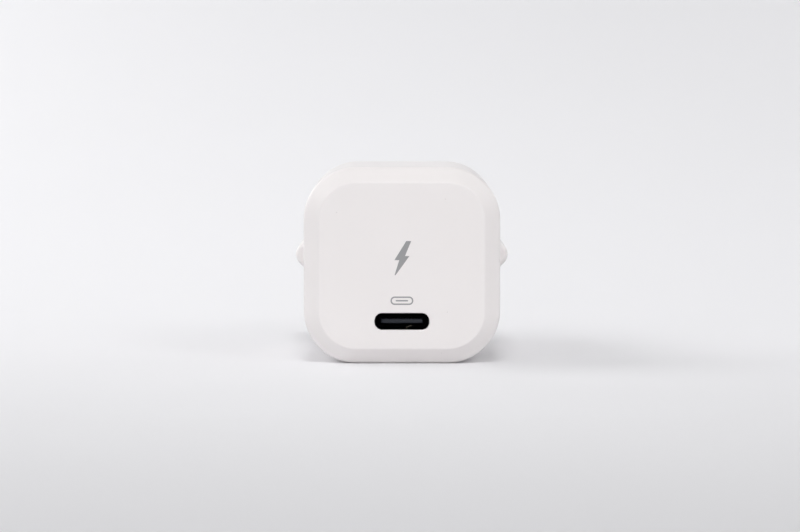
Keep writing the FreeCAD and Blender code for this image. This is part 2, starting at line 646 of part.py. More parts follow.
def make_port_shell():
    """The metal shell with four legs that pass through the board."""
    body = new_body("port_shell", y=PORT_FRONT, z="dims.port_height")
    outline = add_sketch(body, "shell_outline", "XZ_Plane")
    rounded_rectangle(outline, "dims.shell_width", "dims.shell_height", "dims.shell_corner")
    extrude(body, "Pad", outline, "dims.shell_length")
    leg_start = f"{BOARD_FRONT} - {PORT_FRONT} + dims.leg_inset"
    legs = add_sketch(body, "shell_legs", "XZ_Plane", leg_start)
    outer = "dims.shell_width / 2"
    inner = "dims.shell_width / 2 - dims.shell_wall"
    foot = "-dims.shell_height / 2 - dims.board_thickness - dims.lead_reach"
    for side in ("", "-"):
        rectangle(legs, f"{side}({inner})", f"{side}({outer})", foot, "0")
    front_legs = extrude(body, "Pad", legs, "dims.leg_width")
    repeat(body, [front_legs], "Y_Axis", "dims.leg_width + dims.leg_gap", "2")
    mouth = add_sketch(body, "shell_mouth", "XZ_Plane")
    rounded_rectangle(mouth, MOUTH_WIDTH, MOUTH_HEIGHT, MOUTH_CORNER)
    extrude(body, "Pocket", mouth, "dims.shell_length")
    return body


def make_port_contacts():
    """Two rows of flat contacts that run along the tongue and down to the board."""
    row = "((dims.contact_count - 1) * dims.contact_pitch)"
    body = new_body("port_contacts", x=f"-{row} / 2", y=PORT_FRONT, z="dims.port_height")
    thick = "dims.contact_thickness"
    face = "dims.tongue_thickness / 2"
    board = "-dims.shell_height / 2"
    tip = "(dims.tongue_setback + dims.contact_setback)"
    lower_drop = "(dims.shell_length + dims.tail_gap)"
    upper_drop = f"({lower_drop} + dims.tail_row)"
    upper = add_sketch(body, "upper_contact", "YZ_Plane")
    polygon(upper, [(tip, face), (f"{upper_drop} - {thick}", face), (f"{upper_drop} - {thick}", board),
                    (f"{upper_drop} + dims.tail_foot", board),
                    (f"{upper_drop} + dims.tail_foot", f"{board} + {thick}"),
                    (upper_drop, f"{board} + {thick}"), (upper_drop, f"{face} + {thick}"),
                    (tip, f"{face} + {thick}")])
    upper_pad = extrude(body, "Pad", upper, "dims.contact_width", both_ways=True)
    lower = add_sketch(body, "lower_contact", "YZ_Plane")
    polygon(lower, [(tip, f"-{face}"), (tip, f"-{face} - {thick}"),
                    (f"{lower_drop} - {thick}", f"-{face} - {thick}"), (f"{lower_drop} - {thick}", board),
                    (lower_drop, board), (lower_drop, f"-{face}")])
    lower_pad = extrude(body, "Pad", lower, "dims.contact_width", both_ways=True)
    repeat(body, [upper_pad, lower_pad], "X_Axis", row, "dims.contact_count")
    return body


def make_port_insulator(contacts):
    """The tongue, its thicker root and the block that closes the shell, moulded round the contacts."""
    body = new_body("port_insulator_blank", y=PORT_FRONT, z="dims.port_height")
    root_front = "(dims.tongue_setback + dims.tongue_length)"
    block_front = f"({root_front} + dims.root_length)"
    back_block = add_sketch(body, "insulator_block", "XZ_Plane", block_front)
    rounded_rectangle(back_block, MOUTH_WIDTH, MOUTH_HEIGHT, MOUTH_CORNER)
    extrude(body, "Pad", back_block, f"dims.shell_length - {block_front}")
    root = add_sketch(body, "insulator_root", "XZ_Plane", root_front)
    centred_rectangle(root, "dims.root_width / 2", "dims.root_thickness / 2")
    extrude(body, "Pad", root, "dims.root_length")
    tongue = add_sketch(body, "insulator_tongue", "XZ_Plane", "dims.tongue_setback")
    centred_rectangle(tongue, "dims.tongue_width / 2", "dims.tongue_thickness / 2")
    extrude(body, "Pad", tongue, "dims.tongue_length")
    return cut_round("port_insulator", body, [contacts])


# Transformer


def lead_end(sketch, x, y):
    """The square section of a lead."""
    half = "dims.lead_thickness / 2"
    rectangle(sketch, f"{x} - {half}", f"{x} + {half}", f"{y} - {half}", f"{y} + {half}")


def make_core_half(label, upside_down):
    """One half of the core, with three limbs."""
    body = new_body(label, TRANSFORMER_X, TRANSFORMER_Y, f"{BOARD_TOP} + dims.core_lift")
    if upside_down:
        turn = FreeCAD.Rotation(FreeCAD.Vector(0, 1, 0), 180)
        body.Placement = FreeCAD.Placement(FreeCAD.Vector(), turn)
        place(body, TRANSFORMER_X, TRANSFORMER_Y, f"{BOARD_TOP} + dims.core_lift + dims.core_height")
    edge, limb, post = "dims.core_width / 2", WINDOW_HALF, "dims.core_post / 2"
    top, back = "dims.core_height / 2", "dims.core_back"
    profile = add_sketch(body, f"{label}_profile", "XZ_Plane")
    polygon(profile, [(f"-({edge})", "0"), (edge, "0"), (edge, top), (limb, top), (limb, back), (post, back),
                      (post, top), (f"-({post})", top), (f"-({post})", back), (f"-{limb}", back),
                      (f"-{limb}", top), (f"-({edge})", top)])
    extrude(body, "Pad", profile, "dims.core_depth", both_ways=True)
    return body


def make_transformer_pins():
    """Two rows of pins under the rails of the bobbin."""
    row = "((dims.rail_pin_count - 1) * dims.rail_pin_spacing)"
    body = new_body("transformer_pins", f"{TRANSFORMER_X} - {row} / 2", TRANSFORMER_Y, BOARD_TOP)
    rail_middle = f"(({FLANGE_HALF_DEPTH} + dims.core_depth / 2 + dims.rail_gap) / 2)"
    ends = add_sketch(body, "transformer_pin_ends", "XY_Plane", LEAD_LOW)
    for side in ("", "-"):
        lead_end(ends, "0", f"{side}{rail_middle}")
    pair = extrude(body, "Pad", ends, f"dims.lead_anchor - {LEAD_LOW}")
    repeat(body, [pair], "X_Axis", row, "dims.rail_pin_count")
    return body


def make_bobbin(pins):
    """The bobbin: tube, two flanges and two rails that stand on the board, moulded round the pins."""
    body = new_body("transformer_bobbin_blank", TRANSFORMER_X, TRANSFORMER_Y, BOARD_TOP)
    for name, low in (("low_flange", FLANGE_LOW), ("high_flange", f"{FLANGE_HIGH} - dims.bobbin_wall")):
        flange = add_sketch(body, name, "XY_Plane", low)
        centred_rectangle(flange, FLANGE_HALF_WIDTH, FLANGE_HALF_DEPTH)
        extrude(body, "Pad", flange, "dims.bobbin_wall")
        if name == "low_flange":
            tube = add_sketch(body, "bobbin_tube", "XY_Plane", FLANGE_LOW)
            centred_rectangle(tube, TUBE_HALF_WIDTH, TUBE_HALF_DEPTH)
            extrude(body, "Pad", tube, f"{FLANGE_HIGH} - {FLANGE_LOW}")
    rails = add_sketch(body, "bobbin_rails", "XY_Plane")
    for side in ("", "-"):
        rectangle(rails, f"-{FLANGE_HALF_WIDTH}", FLANGE_HALF_WIDTH,
                  f"{side}(dims.core_depth / 2 + dims.rail_gap)", f"{side}{FLANGE_HALF_DEPTH}")
    extrude(body, "Pad", rails, f"{FLANGE_LOW} + dims.bobbin_wall / 2")
    bore = add_sketch(body, "bobbin_bore", "XY_Plane", FLANGE_LOW)
    centred_rectangle(bore, f"{TUBE_HALF_WIDTH} - dims.bobbin_wall", f"{TUBE_HALF_DEPTH} - dims.bobbin_wall")
    extrude(body, "Pocket", bore, f"{FLANGE_HIGH} - {FLANGE_LOW}")
    return cut_round("transformer_bobbin", body, [pins])


def make_winding():
    """The taped winding between the flanges."""
    body = new_body("transformer_winding", TRANSFORMER_X, TRANSFORMER_Y, BOARD_TOP)
    low = f"({FLANGE_LOW} + dims.bobbin_wall)"
    height = f"{FLANGE_HIGH} - dims.bobbin_wall - {low}"
    outline = add_sketch(body, "winding_outline", "XY_Plane", low)
    rounded_rectangle(outline, f"2 * ({FLANGE_HALF_WIDTH} - dims.bobbin_gap)",
                      f"2 * ({TUBE_HALF_DEPTH} + dims.winding_depth)", "dims.winding_depth")
    extrude(body, "Pad", outline, height)
    bore = add_sketch(body, "winding_bore", "XY_Plane", low)
    centred_rectangle(bore, TUBE_HALF_WIDTH, TUBE_HALF_DEPTH)
    extrude(body, "Pocket", bore, height)
    return body


# Parts with wire leads


def make_leads(label, spacing, x, y, in_line=False):
    """Two straight leads, side by side or one behind the other, from inside a part down through the board."""
    body = new_body(label, x, y, BOARD_TOP)
    ends = add_sketch(body, f"{label}_ends", "XY_Plane", LEAD_LOW)
    for side in ("", "-"):
        step = f"{side}{spacing} / 2"
        lead_end(ends, "0" if in_line else step, step if in_line else "0")
    extrude(body, "Pad", ends, f"dims.lead_anchor - {LEAD_LOW}")
    return body


def make_can(label, diameter, height, x, y):
    """A capacitor can that stands on its bung."""
    body = new_body(label, x, y, BOARD_TOP)
    disc = add_sketch(body, f"{label}_disc", "XY_Plane", "dims.bung_height")
    circle(disc, diameter)
    extrude(body, "Pad", disc, f"{height} - dims.bung_height")
    return body


def make_bung(label, diameter, x, y, leads):
    """The rubber bung of a can, with its leads through it."""
    body = new_body(f"{label}_blank", x, y, BOARD_TOP)
    disc = add_sketch(body, f"{label}_disc", "XY_Plane")
    circle(disc, f"{diameter} - 2 * dims.bung_inset")
    extrude(body, "Pad", disc, "dims.bung_height")
    return cut_round(label, body, [leads])


def make_fuse(leads):
    """The box-shaped fuse."""
    body = new_body("fuse_blank", "-dims.fuse_offset", FUSE_Y, BOARD_TOP)
    outline = add_sketch(body, "fuse_outline", "XY_Plane")
    rounded_rectangle(outline, "dims.fuse_width", "dims.fuse_depth", "dims.fuse_edge_radius")
    extrude(body, "Pad", outline, "dims.fuse_height")
    return cut_round("fuse", body, [leads])


def make_choke_core(leads):
    """The core of the choke: a post between two square flanges."""
    body = new_body("choke_core_blank", "dims.choke_offset", CHOKE_Y, BOARD_TOP)
    flange, post = "dims.choke_width / 2", "dims.choke_post / 2"
    high = "dims.choke_height - dims.choke_flange"
    for name, low, half, top in (("choke_low_flange", "0", flange, "dims.choke_flange"),
                                 ("choke_middle", "dims.choke_flange", post, high),
                                 ("choke_high_flange", high, flange, "dims.choke_height")):
        outline = add_sketch(body, name, "XY_Plane", low)
        centred_rectangle(outline, half, half)
        extrude(body, "Pad", outline, f"{top} - ({low})")
    return cut_round("choke_core", body, [leads])


def make_choke_winding():
    """The wire wound between the flanges."""
    body = new_body("choke_winding", "dims.choke_offset", CHOKE_Y, BOARD_TOP)
    height = "dims.choke_height - 2 * dims.choke_flange"
    outline = add_sketch(body, "choke_winding_outline", "XY_Plane", "dims.choke_flange")
    across = "dims.choke_width - 2 * dims.choke_rim"
    rounded_rectangle(outline, across, across, "dims.choke_rim")
    extrude(body, "Pad", outline, height)
    bore = add_sketch(body, "choke_winding_bore", "XY_Plane", "dims.choke_flange")
    centred_rectangle(bore, "dims.choke_post / 2", "dims.choke_post / 2")
    extrude(body, "Pocket", bore, height)
    return body


# Circuit board, chips and sheets


def chip_place(label):
    """Where a chip sits along the row under the board."""
    row = [name for name, thickness in CHIPS]
    return f"({CHIP_FRONT_Y} + {row.index(label)} * dims.chip_spacing)"


def make_board(through):
    """The circuit board, with a soldered hole for each lead that passes through it."""
    body = new_body("main_board_blank")
    outline = add_sketch(body, "board_outline", "XY_Plane", BOARD_BOTTOM)
    rectangle(outline, f"-{BOARD_HALF}", BOARD_HALF, BOARD_FRONT, BOARD_REAR)
    extrude(body, "Pad", outline, "dims.board_thickness")
    dress(body, "Fillet", runs_along("Z"), "dims.board_corner")
    return cut_round("main_board", body, through)


def make_chips():
    """Flat chips in a row under the board, from the port side to the mains side."""
    chips = []
    for label, thickness in CHIPS:
        size = ("dims.chip_width", "dims.chip_depth", thickness)
        low = f"{BOARD_BOTTOM} - {thickness}"
        chips.append(block(label, size, "dims.chip_offset", chip_place(label), low))
    return chips


def make_passives():
    """A row of small chip parts under the board, outside the leads of the mains capacitors."""
    x = f"({BULK_X} + dims.lead_thickness / 2 + dims.part_gap + dims.passive_width / 2)"
    body = new_body("chip_passives", x, CHIP_FRONT_Y, f"{BOARD_BOTTOM} - dims.passive_width")
    outline = add_sketch(body, "passive_outline", "XY_Plane")
    centred_rectangle(outline, "dims.passive_width / 2", "dims.passive_length / 2")
    first = extrude(body, "Pad", outline, "dims.passive_width")
    row = "(dims.passive_count - 1) * (dims.passive_length + dims.passive_gap)"
    repeat(body, [first], "Y_Axis", row, "dims.passive_count")
    return body


def make_heat_path():
    """The heat spreader on the floor of the case, and the pad between it and the power switch."""
    width = f"2 * ({RIB_X} - dims.rib_width / 2 - dims.spreader_gap)"
    plate = block("heat_spreader", (width, "dims.spreader_length", "dims.spreader_thickness"),
                  "0", f"({SPREADER_FRONT} + dims.spreader_length / 2)", "dims.wall")
    low = "(dims.wall + dims.spreader_thickness)"
    rise = f"{BOARD_BOTTOM} - dims.chip_thickness - {low}"
    pad = block("thermal_pad", ("dims.chip_width", "dims.chip_depth", rise), "dims.chip_offset",
                chip_place("power_switch"), low)
    return [plate, pad]


def make_barrier():
    """The upright sheet between the mains side and the port side."""
    left = f"(-{BOARD_HALF} + dims.board_gap)"
    right = f"({BULK_X} - dims.bulk_diameter / 2 - dims.part_gap)"
    size = (f"({right} - {left})", "dims.sheet_thickness", "dims.sheet_height")
    return block("barrier_sheet", size, f"(({left} + {right}) / 2)",
                 f"({SHEET_FRONT} + dims.sheet_thickness / 2)", BOARD_TOP)


def make_safety_capacitor():
    """The flat safety capacitor beside the port, on the board."""
    x = f"(({BOARD_HALF} + dims.shell_width / 2) / 2)"
    size = ("dims.chip_width", "dims.chip_depth", "dims.optocoupler_thickness")
    return block("safety_capacitor", size, x, CHIP_FRONT_Y, BOARD_TOP)


def build():
    """Make every piece and return those that are kept."""
    pieces = [make_housing()]
    pins = [make_pin("pin_left", "-"), make_pin("pin_right", "")]
    sleeves = [make_sleeve("pin_sleeve_left", "-"), make_sleeve("pin_sleeve_right", "")]
    pieces += pins + sleeves + [make_cover(pins, sleeves)]
    pieces += [make_contact_strip("contact_strip_left", "-"), make_contact_strip("contact_strip_right", "")]
    shell, contacts = make_port_shell(), make_port_contacts()
    pieces += [shell, contacts, make_port_insulator(contacts)]
    rail_pins = make_transformer_pins()
    pieces.append(make_core_half("transformer_core_lower", upside_down=False))
    pieces.append(make_core_half("transformer_core_upper", upside_down=True))
    pieces += [rail_pins, make_bobbin(rail_pins), make_winding()]
    bulk_leads, bulk_bungs = [], []
    for end, y in (("front", BULK_FRONT_Y), ("rear", BULK_REAR_Y)):
        label = f"bulk_capacitor_{end}"
        leads = make_leads(f"{label}_leads", "dims.bulk_lead_spacing", BULK_X, y, in_line=True)
        bulk_leads.append(leads)
        bulk_bungs.append(make_bung(f"{label}_bung", "dims.bulk_diameter", BULK_X, y, leads))
        pieces.append(make_can(label, "dims.bulk_diameter", "dims.bulk_height", BULK_X, y))
    pieces += [group("bulk_capacitor_leads", bulk_leads), group("bulk_capacitor_bungs", bulk_bungs)]
    spot = (OUTPUT_X, OUTPUT_Y)
    output_leads = make_leads("output_capacitor_leads", "dims.output_lead_spacing", *spot, in_line=True)
    pieces.append(make_can("output_capacitor", "dims.output_diameter", "dims.output_height", *spot))
    pieces.append(make_bung("output_capacitor_bung", "dims.output_diameter", *spot, output_leads))
    fuse_leads = make_leads("fuse_leads", "dims.fuse_lead_spacing", "-dims.fuse_offset", FUSE_Y)
    choke_leads = make_leads("choke_leads", "dims.choke_lead_spacing", "dims.choke_offset", CHOKE_Y)
    pieces += [output_leads, fuse_leads, choke_leads]
    pieces += [make_fuse(fuse_leads), make_choke_core(choke_leads), make_choke_winding()]
    pieces.append(make_board([shell, rail_pins, *bulk_leads, output_leads, fuse_leads, choke_leads]))
    pieces += make_chips() + make_heat_path() + [make_passives(), make_safety_capacitor(), make_barrier()]
    return pieces


def check(pieces):
    """Stop if anything in the document failed or a piece has no sound shape."""
    doc.recompute()
    for item in doc.Objects:
        if "Invalid" in item.State or "Error" in item.State:
            raise RuntimeError(f"{item.Name} could not be built")
    for piece in pieces:
        if piece.Shape.isNull() or not piece.Shape.isValid() or not piece.Shape.Solids:
            raise RuntimeError(f"{piece.Label} has no sound solid")


kept = build()
check(kept)
os.makedirs("parts", exist_ok=True)
for piece in kept:
    piece.Shape.exportStep(os.path.join("parts", f"{piece.Label}.step"))
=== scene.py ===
"""The looks of a wall charger, as an add-on: case, plug, port, printed signs, inner parts and stage."""

import math

import bpy
from bpy.props import FloatProperty, FloatVectorProperty, PointerProperty
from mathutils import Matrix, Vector


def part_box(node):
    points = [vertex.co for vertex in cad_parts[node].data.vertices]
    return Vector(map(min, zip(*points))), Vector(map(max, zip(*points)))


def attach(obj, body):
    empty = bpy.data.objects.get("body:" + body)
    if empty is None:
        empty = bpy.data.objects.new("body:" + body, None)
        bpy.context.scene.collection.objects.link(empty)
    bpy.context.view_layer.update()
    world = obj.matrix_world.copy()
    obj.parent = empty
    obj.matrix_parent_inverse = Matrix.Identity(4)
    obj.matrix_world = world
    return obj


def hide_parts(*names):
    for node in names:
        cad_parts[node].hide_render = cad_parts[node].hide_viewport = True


bl_info = {
    "name": "Wall charger looks",
    "version": (1, 0, 0),
    "blender": (4, 5, 0),
    "location": "3D View > Sidebar > Charger",
    "description": "Models the shown pieces of a wall charger over its solid frame",
    "category": "Object",
}

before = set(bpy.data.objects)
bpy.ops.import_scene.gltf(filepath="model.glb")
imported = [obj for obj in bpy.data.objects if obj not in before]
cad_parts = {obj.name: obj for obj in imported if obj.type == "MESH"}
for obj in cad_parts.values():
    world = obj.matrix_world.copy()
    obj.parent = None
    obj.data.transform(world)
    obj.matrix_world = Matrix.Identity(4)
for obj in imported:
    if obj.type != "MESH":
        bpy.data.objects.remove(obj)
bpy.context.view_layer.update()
X, Y, Z = range(3)
MM = 0.001
# Places closer than this count as one place
HAIR = 1e-6
# A cutter runs this far past the surface that it cuts
PAST = MM
# Noise stays mostly between these two values
MASK_LOW = 0.3
MASK_HIGH = 0.7


def length(name, description, millimetres):
    """A length that a user may change, given in millimetres."""
    return FloatProperty(name=name, description=description, default=millimetres * MM,
                         unit="LENGTH", precision=5)


def amount(name, description, value):
    """A plain number that a user may change."""
    return FloatProperty(name=name, description=description, default=value)


def colour(name, description, red, green, blue):
    """A colour that a user may change."""
    return FloatVectorProperty(name=name, description=description, default=(red, green, blue),
                               subtype="COLOR", size=3, min=0, max=1)


class ChargerSizes(bpy.types.PropertyGroup):
    """Sizes of the shown pieces."""

    corner_radius: length("Corner radius", "Rounding of the four long edges of the case", 8.4)
    bevel_width: length("Bevel width", "Front bevel, seen from the front", 2.45)
    bevel_depth: length("Bevel depth", "Front bevel, seen from the side", 2.0)
    face_softness: length("Face softness", "Soft edge between front face and bevel", 0.17)
    side_softness: length("Side softness", "Soft edge between bevel and sides", 0.5)
    seam_softness: length("Seam softness", "Soft edges of the seam round the case", 0.2)
    wall: length("Wall", "Side walls of the case", 1.6)
    front_wall: length("Front wall", "Wall behind the front face", 1.8)
    cavity_bevel: length("Cavity bevel", "Bevel inside the case, round its front wall", 1.2)
    inner_corner: length("Inner corner", "Corners of the shell's seat and of the space in the plug base", 1.5)
    rear_softness: length("Rear softness", "Rounding of the rear edge of the cover", 1.2)
    spigot_gap: length("Spigot gap", "Clearance between the case and the spigot of the cover", 0.1)
    spigot_wall: length("Spigot wall", "Wall of the cover's spigot, which enters the case", 1.2)
    cover_wall: length("Cover wall", "Rear wall of the cover", 2.0)
    plug_length: length("Plug length", "Plug base, from the cover to its face", 17.0)
    plug_height: length("Plug height", "Plug base, between its flats", 13.7)
    plug_tip: length("Plug tip", "Rounding of the two tips of the plug base", 2.0)
    plug_shoulder: length("Plug shoulder", "Rounding where flats meet slopes", 1.24)
    plug_softness: length("Plug softness", "Rounding of both ends of the plug base", 0.7)
    plug_wall: length("Plug wall", "Walls of the plug base, above and below its space", 1.8)
    plug_end: length("Plug end", "Solid end of the plug base, which holds the pins", 7.5)
    plug_space: length("Plug space", "Width of the space in the plug base", 24.0)
    pin_radius: length("Pin radius", "Bare end of a pin", 2.0)
    pin_tip: length("Pin tip", "Rounding of the end of a pin", 1.6)
    pin_reach: length("Pin reach", "Pin, from the plug face to its end", 19.0)
    pin_bare: length("Pin bare end", "Length of the bare end of a pin", 9.0)
    pin_root: length("Pin root", "Between the pin axes at the plug face", 18.6)
    pin_spread: length("Pin spread", "Between the pin axes at their ends", 17.5)
    collar_softness: length("Collar softness", "Soft edge where the bare end of a pin begins", 0.12)
    shank_radius: length("Shank radius", "Pin inside its sleeve", 1.4)
    shank_anchor: length("Shank anchor", "Pin inside the plug face", 8.9)
    sleeve_radius: length("Sleeve radius", "Outside of a pin sleeve", 1.75)
    sleeve_anchor: length("Sleeve anchor", "Sleeve inside the plug face", 2.5)
    sleeve_softness: length("Sleeve softness", "Soft edge at the end of a sleeve", 0.1)
    port_height: length("Port height", "Middle of the port above the underside", 6.8)
    slot_width: length("Slot width", "Slot in the front face", 8.66)
    slot_height: length("Slot height", "Slot in the front face", 2.66)
    slot_depth: length("Slot depth", "Slot behind its flare", 2.0)
    slot_corner: length("Slot corner", "Corners of the slot", 1.2)
    slot_flare: length("Slot flare", "Soft edge round the slot", 0.15)
    seat_gap: length("Seat gap", "Clearance round the metal shell", 0.1)
    tongue_width: length("Tongue width", "Tongue in the port", 6.69)
    tongue_length: length("Tongue length", "Tongue, from its tip to the port base", 4.45)
    tongue_thickness: length("Tongue thickness", "Tongue under its contacts", 0.6)
    tongue_corner: length("Tongue corner", "Corners of the tip, seen from above", 0.35)
    lip_thickness: length("Lip thickness", "Tip of the tongue, in front of the contacts", 0.74)
    lip_length: length("Lip length", "Tip of the tongue, in front of the contacts", 0.44)
    lip_softness: length("Lip softness", "Rounding of the upper and lower edge of the tip", 0.22)
    blade_inset: length("Blade inset", "Blade of the tongue, inside the lip and its two ends", 0.05)
    base_corner: length("Base corner", "Corners of the plastic behind the tongue", 0.8)
    step_width: length("Step width", "Step where the tongue meets the port base", 7.4)
    step_thickness: length("Step thickness", "Step where the tongue meets the port base", 1.3)
    step_length: length("Step length", "Step where the tongue meets the port base", 1.0)
    step_softness: length("Step softness", "Soft front edge of the step", 0.12)
    step_overlap: length("Step overlap", "Step inside the port base", 0.1)
    lint_radius: length("Lint radius", "Thread of lint in the slot", 0.045)
    lint_across: length("Lint across", "Foot of the lint, right of the middle", 0.7)
    lint_depth: length("Lint depth", "Foot of the lint, behind the front face", 0.4)
    sign_height: length("Sign height", "Flash sign on the front face", 5.4)
    sign_middle: length("Sign middle", "Flash sign above the underside", 16.85)
    outline_width: length("Outline width", "Port sign above the slot", 3.6)
    outline_middle: length("Outline middle", "Port sign above the underside", 10.1)
    stroke: length("Stroke", "Line of the port sign", 0.22)
    ink_thickness: length("Ink thickness", "Printed signs above the front face", 0.02)


class ChargerColours(bpy.types.PropertyGroup):
    """Colours of the finishes."""

    case: colour("Case", "Matt white plastic", 0.845, 0.812, 0.808)
    ink: colour("Ink", "Printed signs", 0.32, 0.32, 0.325)
    sleeve: colour("Sleeve", "Sleeves on the pins", 0.62, 0.62, 0.63)
    nickel: colour("Nickel", "Plated pins", 0.66, 0.64, 0.60)
    # Painted shade: the metal shell of the port is made near black so that the slot reads as deep shade
    steel_painted_shade: colour("Steel", "Metal shell of the port", 0.012, 0.012, 0.013)
    tongue: colour("Tongue", "Tongue of the port", 0.024, 0.027, 0.036)
    # Painted shade: the plastic behind the tongue is the tongue's own plastic, made near black to stand for
    # the shade deep in the slot
    port_painted_shade: colour("Port black", "Plastic behind the tongue", 0.0025, 0.0025, 0.003)
    lint: colour("Lint", "Thread of lint in the slot", 0.13, 0.115, 0.09)
    floor: colour("Floor", "Seamless paper", 0.835, 0.833, 0.852)


class ChargerStage(bpy.types.PropertyGroup):
    """Camera, light and paper."""

    lens: amount("Lens", "Focal length in millimetres", 151.0)
    distance: length("Distance", "Camera to the front face", 530.0)
    pitch: FloatProperty(name="Pitch", description="Camera looks down by this angle", subtype="ANGLE",
                         default=math.radians(3.5))
    aim_across: length("Aim across", "Aim, left or right of the middle", -0.3)
    aim_height: length("Aim height", "Aim above the underside", 15.6)
    sky: amount("Sky", "Brightness of the light from all round", 0.12)
    left: amount("Left light", "Power of the soft light on the left, in watts", 1.7)
    left_ahead: amount("Left front light", "Power of the light ahead on the left, in watts", 1.0)
    left_low: amount("Left low light", "Power of the low light behind on the left, in watts", 0.4)
    right: amount("Right light", "Power of the wide light on the right, in watts", 1.57)
    right_ahead: amount("Right front light", "Power of the light ahead on the right, in watts", 1.3)
    right_low: amount("Right low light", "Power of the low light behind on the right, in watts", 0.3)
    behind: amount("Paper light", "Power of the soft light on the paper behind, in watts", 2.28)
    beam_high: amount("High beam", "Power of the beam from high in front, in watts", 12.4)
    beam_low: amount("Low beam", "Power of the beam from low in front, in watts", 5.6)
    paper_width: length("Paper width", "Paper, from left to right", 3000.0)
    paper_length: length("Paper length", "Paper on the table, with its sweep", 2400.0)
    paper_shift: length("Paper shift", "Middle of the paper on the table, behind the case", -200.0)
    paper_rise: length("Paper rise", "Height of the paper behind", 1600.0)
    paper_sweep: length("Paper sweep", "Radius of the sweep from table to rear", 900.0)


# Modelling by hand


def deselect():
    """Leave nothing selected, so that the next tool acts on the new piece alone."""
    bpy.ops.object.select_all(action="DESELECT")


def name_piece(name):
    """Name the piece that was just added, with its place and size put into its mesh."""
    bpy.ops.object.transform_apply(location=True, rotation=True, scale=True)
    piece = bpy.context.active_object
    piece.name = name
    piece.data.name = name
    return piece


def add_block(name, low, high):
    """Add a block between two corners."""
    deselect()
    low, high = Vector(low), Vector(high)
    bpy.ops.mesh.primitive_cube_add(size=1, location=(low + high) / 2, scale=high - low)
    return name_piece(name)


def add_rod(name, radius, start, end, caps="NGON"):
    """Add a round rod along Y between two places on that axis."""
    deselect()
    bpy.ops.mesh.primitive_cylinder_add(vertices=72, radius=radius, depth=end - start, end_fill_type=caps,
                                        location=(0, (start + end) / 2, 0), rotation=(math.radians(90), 0, 0))
    return name_piece(name)


def use(piece):
    """Make a piece the only one selected."""
    if bpy.context.mode != "OBJECT":
        bpy.ops.object.mode_set(mode="OBJECT")
    deselect()
    piece.select_set(True)
    bpy.context.view_layer.objects.active = piece


def pick(piece, kind, wanted):
    """Open a piece for editing with those of its faces, edges or points selected that a test wants."""
    use(piece)
    bpy.ops.object.mode_set(mode="EDIT")
    bpy.ops.mesh.select_mode(type=kind)
    bpy.ops.mesh.select_all(action="DESELECT")
    bpy.ops.object.mode_set(mode="OBJECT")
    points = piece.data.vertices
    items = {"VERT": points, "EDGE": piece.data.edges, "FACE": piece.data.polygons}[kind]
    found = 0
    for item in items:
        corners = [item.co] if kind == "VERT" else [points[index].co for index in item.vertices]
        item.select = wanted(corners)
        found += item.select
    if not found:
        raise RuntimeError(f"nothing was found to edit on {piece.name}")
    bpy.ops.object.mode_set(mode="EDIT")


def done():
    """Close the piece that is being edited."""
    bpy.ops.object.mode_set(mode="OBJECT")


def lies_at(axis, place):
    """A test for corners that all lie at one place along an axis."""
    return lambda corners: all(abs(corner[axis] - place) < HAIR for corner in corners)


def runs_along_y(corners):
    """A test for edges along Y."""
    span = corners[1] - corners[0]
    return abs(span.y) > HAIR and abs(span.x) < HAIR and abs(span.z) < HAIR


def runs_along_y_at(across):
    """A test for edges along Y at one distance to the left or right of the middle."""
    return lambda corners: runs_along_y(corners) and abs(abs(corners[0].x) - across) < HAIR


def soften(piece, wanted, size, steps):
    """Round the edges that a test wants."""
    pick(piece, "EDGE", wanted)
    bpy.ops.mesh.bevel(offset=size, offset_type="OFFSET", segments=steps, profile=0.5, affect="EDGES",
                       clamp_overlap=False)
    done()


def round_block(name, low, high, radius, steps=18):
    """A block whose four edges along Y are rounded."""
    block = add_block(name, low, high)
    soften(block, runs_along_y, radius, steps)
    return block


def apply(piece, kind, **settings):
    """Add a modifier to a piece and apply it."""
    use(piece)
    modifier = piece.modifiers.new(kind.lower(), kind)
    for key, value in settings.items():
        setattr(modifier, key, value)
    bpy.ops.object.modifier_apply(modifier=modifier.name)


def combine(piece, other, operation):
    """Cut another piece out of a piece, or weld it on, and throw the other away."""
    apply(piece, "BOOLEAN", object=other, operation=operation, solver="EXACT")
    bpy.data.objects.remove(other)


def join(piece, other):
    """Make another piece part of a piece, without welding their surfaces."""
    use(piece)
    other.select_set(True)
    bpy.ops.object.join()


def finish(piece, material, slot, *nodes):
    """Smooth a piece, give it its finish and let it stand for its nodes."""
    use(piece)
    bpy.ops.object.shade_smooth_by_angle(angle=math.radians(40))
    apply(piece, "WEIGHTED_NORMAL", keep_sharp=True, weight=80)
    piece.data.materials.clear()
    piece.data.materials.append(material)
    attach(piece, "root")
    if nodes:
        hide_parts(*nodes)
    deselect()


def case_middle():
    """Height of the middle of the case."""
    low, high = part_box("housing")
    return (low.z + high.z) / 2


# Finishes


def new_group(name, inputs, outputs):
    """Start a shared effect with named sockets."""
    group = bpy.data.node_groups.new(name, "ShaderNodeTree")
    for socket, kind in inputs:
        group.interface.new_socket(socket, in_out="INPUT", socket_type=kind)
    for socket, kind in outputs:
        group.interface.new_socket(socket, in_out="OUTPUT", socket_type=kind)
    return group, group.nodes.new("NodeGroupInput"), group.nodes.new("NodeGroupOutput")


def add_noise(tree, coordinates, scale, detail, roughness):
    """Add a noise texture; its scale is a number or a socket."""
    noise = tree.nodes.new("ShaderNodeTexNoise")
    noise.inputs["Detail"].default_value = detail
    noise.inputs["Roughness"].default_value = roughness
    tree.links.new(coordinates, noise.inputs["Vector"])
    if isinstance(scale, bpy.types.NodeSocket):
        tree.links.new(scale, noise.inputs["Scale"])
    else:
        noise.inputs["Scale"].default_value = scale
    return noise.outputs["Fac"]


